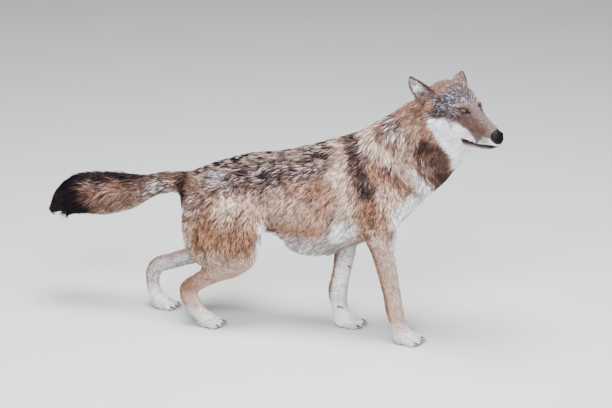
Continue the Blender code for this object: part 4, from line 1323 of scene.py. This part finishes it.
class Locks:
    """The locks of some regions: where each is rooted, and what it is like there."""

    def __init__(self, names, settings, seed):
        skin = bpy.data.objects["skin"].data
        self.surface = Surface(skin)
        self.normals = self.surface.normals()
        self.ways = read_attribute(skin, "way", 3)
        sizes = read_attribute(skin, "sizes", 4)
        marks = np.concatenate([read_attribute(skin, name, 4) for name in ("marks", "lock")],
                               axis=1)
        shares = np.stack([read_attribute(skin, f"in_{name}", 1) for name in NAMES], axis=1)
        chart = fetch(skin.uv_layers[MAP].uv, "vector", 2, np.float32)
        self.rng = np.random.default_rng(seed)
        tri = self.surface.triangles
        owner = shares[tri].sum(axis=1).argmax(axis=1)
        mine = np.isin(owner, [NAMES.index(name) for name in names])
        a, b, c = (self.surface.points[tri[:, k]] for k in range(3))
        area = np.linalg.norm(np.cross(b - a, c - a), axis=1) / 2
        _, length, width, cover = sizes[tri].mean(axis=1).T
        bare = marks[tri][:, :, 7].mean(axis=1)
        weight = area * cover / (0.5 * length * width) * mine * (bare < 0.3)
        weight *= settings.fullness * 1.0
        self.count = int(weight.sum())
        pick = np.searchsorted(np.cumsum(weight) / weight.sum(), self.rng.random(self.count))
        share = self.rng.dirichlet((1.0, 1.0, 1.0), self.count)[:, :, None]

        def at_roots(values, corners=tri):
            return (values[corners[pick]] * share).sum(axis=1)

        self.roots = at_roots(self.surface.points)
        self.way, self.normal = unit(at_roots(self.ways)), unit(at_roots(self.normals))
        self.marks, self.place = at_roots(marks), at_roots(chart, self.surface.loops)
        self.depth, self.length, self.width, _ = at_roots(sizes).T

    def snapped(self, spots):
        """Nearest points of the skin, and the corners of the faces they lie on."""
        found = [self.tree.find_nearest(spot)[::2] for spot in spots.tolist()]
        corners = self.surface.triangles[[face for _, face in found]]
        return np.array([place for place, _ in found]), corners

    def paths(self):
        """Four points of each lock, following the skin, and the normal at each."""
        count, rng = self.count, self.rng
        length = self.length * rng.uniform(0.7, 1.22, count)
        swirl = ripple(self.roots, 42.0, 17) * 0.3 + rng.normal(0.0, 0.16, count)
        level = rng.uniform(0.3, 1.0, count) ** 0.6 * rng.uniform(0.96, 1.22, count)
        self.tree = self.surface.tree()
        spot = self.roots.copy()
        way = turned(self.way, self.normal, swirl)
        points = [self.roots + self.normal * self.depth[:, None] * RISE[0]]
        ups = [self.normal]
        x, _, z = self.roots.T
        brush = ramp(-x, 0.62, 0.68)[:, None]
        belly = (ramp(-self.normal[:, 2], -0.2, 0.25) * ramp(0.335 - z, -0.02, 0.02)
                 * ramp(length, 0.026, 0.036))[:, None]
        droop = (brush * 0.06 + belly * 0.55) * np.array((0.0, 0.0, -1.0))
        for step, rise in zip(np.diff(RINGS), RISE[1:]):
            spot = spot + (way + droop) * (length * step)[:, None]
            on_skin, corners = self.snapped(spot)
            spot = blend(on_skin, spot, brush + belly * 0.7)
            normal = unit(self.normals[corners].sum(axis=1))
            way = blend(unit(self.ways[corners].sum(axis=1)), way, brush * 0.85)
            way = unit(way - (way * normal).sum(axis=1, keepdims=True) * normal)
            way = turned(way, normal, swirl)
            points.append(spot + normal * (self.depth * level * rise)[:, None])
            ups.append(normal)
        return np.stack(points, axis=1), np.stack(ups, axis=1)

    def gather(self, points, settings):
        """Locks drawn together towards the tip of a leader near them, and the leaders."""
        leaders = self.rng.choice(self.count, max(1, self.count // settings.clump_count),
                                  replace=False)
        tree = KDTree(len(leaders))
        for index, leader in enumerate(leaders):
            tree.insert(self.roots[leader], index)
        tree.balance()
        mine = leaders[[tree.find(root)[1] for root in self.roots.tolist()]]
        pull = settings.clumping * self.rng.uniform(0.4, 1.0, self.count)
        pull *= ramp(self.length, 0.012, 0.028)
        offset = (self.roots - self.roots[mine])[:, None, :] * 0.25
        share = (pull[:, None] * RINGS[None, :] ** 1.3)[:, :, None]
        return blend(points, points[mine] + offset, share), mine

    def stripe(self, fate):
        """Single locks and clumps that turn dark or pale against the rest."""
        marks = self.marks.copy()
        x, _, z = self.roots.T
        ridge = fall(below_back(self.roots), 0.026, 0.05) * ramp(x, -0.26, -0.2)
        ridge *= fall(x, 0.24, 0.3)
        mane = fall(np.hypot((x - 0.175) / 0.08, (z - 0.615) / 0.042), 0.6, 1.2)
        where = np.clip(np.maximum(ridge, mane), 0, 1)
        black = where * ramp(fate, 0.44, 0.54) * 0.94
        pale = where * fall(fate, 0.3, 0.45) * 0.8
        marks[:, :8] *= (1.0 - black - pale)[:, None]
        marks[:, 0] += black
        marks[:, 2] += pale
        grey = marks[:, 4].copy()
        local = on_head(self.roots)
        gap = np.linalg.norm(local, axis=1)
        away = ramp(gap, 0.16, 0.22)
        speck = blend(0.62 * self.rng.random(self.count) + 0.1, fate, away * 0.3)
        plain = 1.0 - ramp(local[:, 0], -0.006, 0.022) * (gap < 0.2)
        near = 1.0 - away
        flip = grey * ramp(speck, 0.44 + 0.03 * near, 0.34 + 0.05 * near) * 0.9 * plain
        grey = grey * blend(1.0, 0.55, ramp(-x, 0.34, 0.44))
        light = grey * ramp(speck, 0.57, 0.69) * blend(0.62, 0.74, away) * plain
        marks[:, 4] -= flip + light
        marks[:, 0] += flip
        marks[:, 2] += light * 0.25
        marks[:, 3] += light * 0.75
        return np.clip(marks, 0.0, 1.0)


def lock_faces():
    """Triangles of one lock: three rings of three corners and a tip."""
    faces = [(0, 1, 2)]
    for ring in (0, 3):
        for k in range(3):
            a, b = ring + k, ring + (k + 1) % 3
            faces += [(a, a + 3, b), (b, a + 3, b + 3)]
    return np.array(faces + [(6 + k, 9, 6 + (k + 1) % 3) for k in range(3)])


def lock_mesh(name, points, ups, girth, marks, tones, place):
    """Closed three-sided locks as one mesh, with marks, tones and a map."""
    count = len(points)
    across = np.cross(np.gradient(points, axis=1), ups)
    across /= np.maximum(np.linalg.norm(across, axis=2, keepdims=True), 1e-9)
    half = (girth[:, None] * GIRTH[None, :])[:, :, None] * 0.5
    body, across = points[:, :3], across[:, :3] * half
    rings = np.stack([body - across, body + across, body + ups[:, :3] * half * 0.85], axis=2)
    corners = np.concatenate([rings.reshape(count, 9, 3), points[:, 3:4]], axis=1)
    index = (np.arange(count)[:, None, None] * CORNERS + lock_faces()[None]).reshape(-1)
    mesh = bpy.data.meshes.new(name)
    mesh.vertices.add(count * CORNERS)
    mesh.vertices.foreach_set("co", corners.astype(np.float32).ravel())
    mesh.loops.add(len(index))
    mesh.loops.foreach_set("vertex_index", index.astype(np.int32))
    mesh.polygons.add(len(index) // 3)
    mesh.polygons.foreach_set("loop_start", np.arange(0, len(index), 3, dtype=np.int32))
    mesh.update(calc_edges=True)
    mesh.shade_smooth()
    marks, tones = np.repeat(marks, CORNERS, axis=0), np.repeat(tones, CORNERS)
    along = np.repeat(RINGS, (3, 3, 3, 1))
    write_attribute(mesh, "marks", marks[:, :4])
    write_attribute(mesh, "lock", np.stack([marks[:, 4], np.tile(along, count), tones,
                                            np.zeros(len(tones))], axis=1))
    patch = np.stack([np.array((0, 1, 0.5) * 3 + (0.5,)), along], axis=1) * PATCH
    spread = np.repeat(np.clip(place, 0.0, 1.0 - PATCH), CORNERS, axis=0)
    spread += np.tile(patch, (count, 1))
    chart = mesh.uv_layers.new(name=MAP)
    chart.uv.foreach_set("vector", spread[index].astype(np.float32).ravel())
    return mesh


def make_coat(name, names, settings, seed):
    """Locks over some regions, in as many pieces as the size of one allows."""
    locks = Locks(names, settings, seed)
    points, ups = locks.paths()
    points, leader = locks.gather(points, settings)
    fate = locks.rng.random(locks.count)
    tones = np.clip(0.45 * locks.rng.random(locks.count) + 0.55 * fate[leader], 0, 1)
    tones = blend(0.5, tones, blend(0.45, 1.0, ramp(locks.length, 0.009, 0.026)))
    girth = locks.width * locks.rng.uniform(0.7, 1.3, locks.count)
    marks = locks.stripe(fate[leader])
    order = np.argsort(locks.roots[:, 0], kind="stable")
    parts = max(1, math.ceil(locks.count / settings.most_locks))
    for number, part in enumerate(np.array_split(order, parts), 1):
        label = name if parts == 1 else f"{name}_{number}"
        mesh = lock_mesh(label, points[part], ups[part], girth[part], marks[part],
                         tones[part], locks.place[part])
        finish_piece(link(label, mesh, coat_material(settings)))


# ---- eyes, nose, claws and whiskers -------------------------------------------------
EYE_RINGS, EYE_AROUND = 28, 40
CORNEA_BULGE, CORNEA_EDGE = 0.0008, 0.6
NOSE_GRID = 0.0011
WHISKER_STEPS = 6
WHISKER_GIRTH = 0.00032


def eye_material(settings):
    """Amber iris with a round pupil and a dark ring, under a wet gloss."""
    graph = Graph("eye", Coat_Weight=0.6, Coat_Roughness=0.03)
    reach = graph.attribute("gaze", "Fac")
    grain = graph.noise(900.0, 4.0, 0.7)
    deep = tuple(value * share for value, share in zip(settings.iris, (0.55, 0.42, 0.3)))
    amber = graph.mix(graph.ramp(grain, 0.3, 0.7), tuple(settings.iris), deep)
    inner = graph.mix(graph.ramp(reach, 0.2, 0.42), (0.19, 0.105, 0.028), amber)
    ring = graph.mix(graph.ramp(reach, 0.44, 0.56), inner, (0.016, 0.01, 0.007))
    white = graph.mix(graph.ramp(reach, 0.66, 0.8), ring, (0.16, 0.11, 0.09))
    colour = graph.mix(graph.ramp(reach, 0.24, 0.28), (0.002, 0.002, 0.002), white)
    return graph.finish(Base_Color=colour, Roughness=grain * 0.1 + 0.06)


class WOLF_OT_eyes(bpy.types.Operator):
    """Make the eyeballs with a cornea and an iris"""

    bl_idname = "wolf.eyes"
    bl_label = "Eyes"

    def execute(self, context):
        settings = context.scene.wolf
        material = eye_material(settings)
        angle = math.pi * (np.arange(EYE_RINGS + 1) / EYE_RINGS) ** 1.35
        turn = 2 * math.pi * np.arange(EYE_AROUND) / EYE_AROUND
        cornea = CORNEA_BULGE * np.clip(1.0 - (angle / CORNEA_EDGE) ** 2, 0.0, 1.0)
        radius = settings.eye_radius + cornea
        for side, node in zip(SIDES, ("eye_left", "eye_right")):
            centre, toward, rise, out = eye_frame(side)
            points = [centre + out * math.cos(a) * r
                      + (toward * math.cos(t) + rise * math.sin(t)) * (math.sin(a) * r)
                      for a, r in zip(angle, radius) for t in turn]
            mesh = solid(node.replace("eye", "eyeball"), off_head(points).tolist(),
                         tube_faces(EYE_RINGS, EYE_AROUND), gaze=np.repeat(angle, EYE_AROUND))
            mesh.shade_smooth()
            finish_piece(link(mesh.name, mesh, material), (node,))
        return {"FINISHED"}


def nose_material():
    """Black pebbled leather with a moist gloss."""
    graph = Graph("nose_leather", Specular_IOR_Level=0.05)
    cells = graph.node("ShaderNodeTexVoronoi", {"feature": "SMOOTH_F1"},
                       {"Vector": graph.place(), "Scale": 900.0})
    soft = graph.noise(160.0)
    colour = graph.mix(graph.ramp(soft, 0.35, 0.7), (0.001, 0.0012, 0.0022),
                       (0.0035, 0.004, 0.007))
    return graph.finish(Base_Color=colour, Roughness=soft * 0.2 + 0.36,
                        Normal=graph.bump(cells, 0.35, 0.0006))


def shape_nose(surface):
    """Nostrils with their slits and wings, and the groove between them."""
    surface.points = surface.smooth(surface.points, 14)
    local = on_head(surface.points)
    low, high = local.min(axis=0), local.max(axis=0)
    normals = surface.normals() @ HEAD
    wide = np.abs(local[:, 1] - (low[1] + high[1]) / 2)
    height = low[2] + (high[2] - low[2]) * 0.46
    rise = local[:, 2] - height
    hole = np.sqrt(((wide - 0.0078) / 0.0034) ** 2 + (rise / 0.003) ** 2)
    deep = fall(hole, 0.35, 1.15) * (normals[:, 0] > 0.05)
    slit = (np.exp(-((rise + 0.0012) / 0.0012) ** 2) * ramp(wide, 0.008, 0.0105)
            * (local[:, 0] < high[0] - 0.005 + 0.004) * 0.002)
    groove = fall(local[:, 2], height + 0.001, height + 0.006)
    groove = np.exp(-(wide / 0.0007) ** 2) * groove * 0.0013
    wing = np.exp(-((hole - 1.65) / 0.45) ** 2) * 0.0007
    inward = np.array((-0.0062, 0.0, 0.0006))
    local += deep[:, None] * inward + (wing - slit - groove)[:, None] * normals
    surface.points = off_head(local)
    surface.store()


class WOLF_OT_nose(bpy.types.Operator):
    """Make the nose pad with its nostrils and groove"""

    bl_idname = "wolf.nose"
    bl_label = "Nose"

    def execute(self, context):
        mesh = remeshed(clean_copy(("nose",), SWELL["nose"]), "nose_pad", NOSE_GRID)
        shape_nose(Surface(mesh))
        mesh.shade_smooth()
        finish_piece(link("nose_pad", mesh, nose_material()), ("nose",))
        return {"FINISHED"}


def claw_material():
    """Dark horn with a dull gloss."""
    graph = Graph("claw_horn", Coat_Weight=0.15)
    grain = graph.noise(320.0, 4.0, 0.6)
    broad = graph.noise(45.0)
    colour = graph.mix(graph.ramp(grain, 0.3, 0.75), (0.016, 0.012, 0.01),
                       (0.085, 0.06, 0.045))
    return graph.finish(Base_Color=colour, Roughness=broad * 0.25 + 0.26,
                        Normal=graph.bump(grain, 0.3, 0.0006))


class WOLF_OT_claws(bpy.types.Operator):
    """Make the rounded claws and dewclaws"""

    bl_idname = "wolf.claws"
    bl_label = "Claws"

    def execute(self, context):
        mesh = mesh_of(clean_copy(CLAWS, SWELL["claw"]), "claws")
        mesh.shade_smooth()
        piece = link("claws", mesh, claw_material())
        rounding = piece.modifiers.new("round", "SUBSURF")
        rounding.levels = rounding.render_levels = 2
        finish_piece(piece, CLAWS)
        return {"FINISHED"}


def whisker(root, lift, way, bend, length, first):
    """Points and faces of one tapering whisker."""
    across = np.cross(way, (0.0, 0.0, 1.0))
    rise = np.cross(across, way)
    points = []
    for step in range(WHISKER_STEPS):
        t = step / WHISKER_STEPS
        middle = root + (way * t + bend * t * t * 0.5) * length - lift * 0.0006
        thick = WHISKER_GIRTH * (1.0 - 0.75 * t)
        for k in range(3):
            turn = 2 * math.pi * k / 3
            points.append(middle + (across * math.cos(turn) + rise * math.sin(turn)) * thick)
    points.append(root + (way + bend * 0.5) * length)
    last = first + 3 * (WHISKER_STEPS - 1)
    faces = tube_faces(WHISKER_STEPS - 1, 3, first)
    faces += [(last + k, last + (k + 1) % 3, last + 3) for k in range(3)]
    return points, faces + [(first + 2, first + 1, first)]


def whisker_material():
    """Stiff hair, dark or pale from one to the next."""
    graph = Graph("whisker")
    tone = graph.ramp(graph.noise(18.0), 0.35, 0.65)
    colour = graph.mix(tone, (0.012, 0.01, 0.01), (0.3, 0.27, 0.24))
    return graph.finish(Base_Color=colour, Roughness=tone * 0.15 + 0.35)


class WOLF_OT_whiskers(bpy.types.Operator):
    """Make the whiskers of the muzzle and brows"""

    bl_idname = "wolf.whiskers"
    bl_label = "Whiskers"

    def execute(self, context):
        longest = context.scene.wolf.whisker_length
        tree = Surface(bpy.data.objects["skin"].data).tree()
        rng = np.random.default_rng(91)
        rows = [(0.1 - 0.011 * k, -0.058 - 0.007 * row, 1.0)
                for row in range(3) for k in range(4)]
        rows += [(-0.004 - 0.005 * k, 0.015, 0.5) for k in range(3)]
        points, faces = [], []
        for side in SIDES:
            bend = HEAD @ np.array((-0.55, side * -0.15, -0.2))
            for fwd, up, size in rows:
                spot = off_head([(fwd + rng.normal(0, 0.001), side * 0.04, up)])[0]
                root, lift = (np.array(part) for part in tree.find_nearest(spot)[:2])
                way = unit(np.array([[-0.62 + rng.normal(0, 0.12), side * 0.62,
                                      0.1 * (size < 1) - 0.18 + rng.normal(0, 0.1)]]))[0]
                length = longest * size * rng.uniform(0.75, 1.1)
                made = whisker(root, lift, HEAD @ way, bend, length, len(points))
                points += made[0]
                faces += made[1]
        mesh = solid("whiskers", points, faces)
        finish_piece(link("whiskers", mesh, whisker_material()))
        return {"FINISHED"}


class WOLF_OT_face_coat(bpy.types.Operator):
    """Make the short fur of the head and ears"""

    bl_idname = "wolf.face_coat"
    bl_label = "Coat of the head"

    def execute(self, context):
        settings = context.scene.wolf
        make_coat("coat_head", ("head",), settings, seed=11)
        make_coat("coat_ears", ("ear",), settings, seed=12)
        return {"FINISHED"}


class WOLF_OT_body_coat(bpy.types.Operator):
    """Make the long fur of the neck, trunk and tail"""

    bl_idname = "wolf.body_coat"
    bl_label = "Coat of the body"

    def execute(self, context):
        settings = context.scene.wolf
        make_coat("coat_neck", ("neck",), settings, seed=21)
        make_coat("coat_trunk", ("trunk",), settings, seed=22)
        make_coat("coat_tail", ("tail",), settings, seed=23)
        return {"FINISHED"}


class WOLF_OT_leg_coat(bpy.types.Operator):
    """Make the fur of the legs and paws"""

    bl_idname = "wolf.leg_coat"
    bl_label = "Coat of the legs"

    def execute(self, context):
        settings = context.scene.wolf
        make_coat("coat_forelegs", ("arm", "forearm"), settings, seed=31)
        make_coat("coat_hindlegs", ("thigh", "shank"), settings, seed=32)
        make_coat("coat_paws", ("paw",), settings, seed=33)
        return {"FINISHED"}


# ---- stage --------------------------------------------------------------------------
# lamps: name, place, size, share of the key light's power, colour
LAMPS = (
    ("key", (0.5, -3.9, 3.3), 2.4, 1.0, (0.97, 0.98, 1.0)),
    ("top", (0.2, -0.5, 4.3), 2.2, 1.1, (0.93, 0.96, 1.0)),
    ("front", (4.0, -1.2, 2.0), 2.4, 0.35, (1.0, 0.98, 0.96)),
)
LAMP_TARGET = (0.0, 0.0, 0.45)
SKY = (0.8, 0.86, 0.95, 1.0)
FLOOR_SIZE = 30.0
CAMERA_TARGET = Vector((0.1104, 0.0087, 0.4087))
CAMERA_TURN, CAMERA_TILT = math.radians(15.0), math.radians(18.0)
CAMERA_DISTANCE = 8.285
CAMERA_LENS = 155.7


def stand(name, data, place, target):
    """Put a lamp or camera in its place and turn it to look at a point."""
    thing = bpy.data.objects.new(name, data)
    thing.location = place
    way = Vector(target) - thing.location
    thing.rotation_euler = way.to_track_quat("-Z", "Y").to_euler()
    bpy.context.scene.collection.objects.link(thing)
    return thing


class WOLF_OT_stage(bpy.types.Operator):
    """Lay the floor, hang the lamps and stand the camera"""

    bl_idname = "wolf.stage"
    bl_label = "Stage"

    def execute(self, context):
        settings = context.scene.wolf
        scene = context.scene
        bpy.ops.mesh.primitive_grid_add(x_subdivisions=8, y_subdivisions=8, size=FLOOR_SIZE)
        floor = context.object
        floor.name = "floor"
        graph = Graph("floor", Roughness=0.85)
        tone = graph.noise(3.0, 4.0, 0.5)
        colour = graph.mix(tone, (0.46, 0.455, 0.44), (0.51, 0.505, 0.49))
        floor.data.materials.append(graph.finish(Base_Color=colour))
        world = bpy.data.worlds.new("studio")
        world.use_nodes = True
        sky = world.node_tree.nodes["Background"].inputs
        sky[0].default_value = SKY
        sky[1].default_value = settings.sky_strength
        scene.world = world
        for name, place, size, share, shade in LAMPS:
            lamp = bpy.data.lights.new(name, "AREA")
            lamp.energy = settings.key_power * share
            lamp.shape = "DISK"
            lamp.size = size
            lamp.color = shade
            stand(name, lamp, place, LAMP_TARGET)
        level = math.cos(CAMERA_TILT)
        back = Vector((math.sin(CAMERA_TURN) * level, -math.cos(CAMERA_TURN) * level,
                       math.sin(CAMERA_TILT)))
        camera = bpy.data.cameras.new("camera")
        camera.lens = CAMERA_LENS
        scene.camera = stand("camera", camera, CAMERA_TARGET + back * CAMERA_DISTANCE,
                             CAMERA_TARGET)
        return {"FINISHED"}


# ---- settings, panel and order ------------------------------------------------------
def tint(name, description, default):
    """A colour property."""
    return FloatVectorProperty(name=name, description=description, default=default,
                               subtype="COLOR", size=3, min=0.0, max=1.0)


class WolfSettings(bpy.types.PropertyGroup):
    """Sizes and colours of the wolf and its stage."""

    skin_grid: FloatProperty(
        name="Skin grid", description="Width of the skin's faces before the face is refined",
        default=0.0042, min=0.003, max=0.01, unit="LENGTH")
    skin_share: FloatProperty(
        name="Skin share", description="Share of the skin's faces kept",
        default=0.5, min=0.1, max=1.0)
    eye_radius: FloatProperty(
        name="Eye radius", description="Radius of an eyeball", default=0.0125, unit="LENGTH")
    lid_opening: FloatProperty(
        name="Lid opening", description="Height of the upper lid's edge over the slit",
        default=0.0044, unit="LENGTH")
    whisker_length: FloatProperty(
        name="Whisker length", description="Length of the longest whiskers",
        default=0.042, unit="LENGTH")
    fullness: FloatProperty(
        name="Fullness", description="How closely locks cover the skin", default=1.0, min=0.05)
    clumping: FloatProperty(
        name="Clumping", description="How far locks draw together at their tips",
        default=0.6, min=0.0, max=1.0)
    clump_count: IntProperty(
        name="Locks per clump", description="Locks that draw together", default=8, min=1)
    most_locks: IntProperty(
        name="Locks per piece", description="Most locks in one piece", default=12200)
    tan: tint("Tan", "Ground colour of the coat", (0.335, 0.18, 0.118))
    rust: tint("Rust", "Warm brown of ears, crown and ruff", (0.155, 0.066, 0.031))
    cream: tint("Cream", "Pale bands", (0.57, 0.44, 0.365))
    white: tint("White", "Cheeks, throat and inner legs", (0.9, 0.92, 0.97))
    grey: tint("Grey", "Grizzled saddle", (0.05, 0.06, 0.096))
    dark: tint("Dark", "Black hair of back and tail tip", (0.003, 0.003, 0.007))
    iris: tint("Iris", "Amber of the eyes", (0.115, 0.058, 0.016))
    key_power: FloatProperty(
        name="Key light", description="Power of the main lamp", default=500.0, unit="POWER")
    sky_strength: FloatProperty(
        name="Surround light", description="Strength of the light from all sides",
        default=0.46)


STEPS = (WOLF_OT_stage, WOLF_OT_skin, WOLF_OT_eyes, WOLF_OT_nose, WOLF_OT_claws,
         WOLF_OT_whiskers, WOLF_OT_face_coat, WOLF_OT_body_coat, WOLF_OT_leg_coat)


class WOLF_PT_panel(bpy.types.Panel):
    """Sidebar panel of the wolf"""

    bl_label = "Timber Wolf"
    bl_idname = "WOLF_PT_panel"
    bl_space_type = "VIEW_3D"
    bl_region_type = "UI"
    bl_category = "Wolf"

    def draw(self, context):
        for name in WolfSettings.__annotations__:
            self.layout.prop(context.scene.wolf, name)
        for step in STEPS:
            self.layout.operator(step.bl_idname)


CLASSES = (WolfSettings, *STEPS, WOLF_PT_panel)


def register():
    for kind in CLASSES:
        bpy.utils.register_class(kind)
    bpy.types.Scene.wolf = PointerProperty(type=WolfSettings)


def unregister():
    del bpy.types.Scene.wolf
    for kind in reversed(CLASSES):
        bpy.utils.unregister_class(kind)


def main():
    """Make everything in order."""
    register()
    for step in STEPS:
        group, name = step.bl_idname.split(".")
        getattr(getattr(bpy.ops, group), name)()


if __name__ == "__main__":
    main()
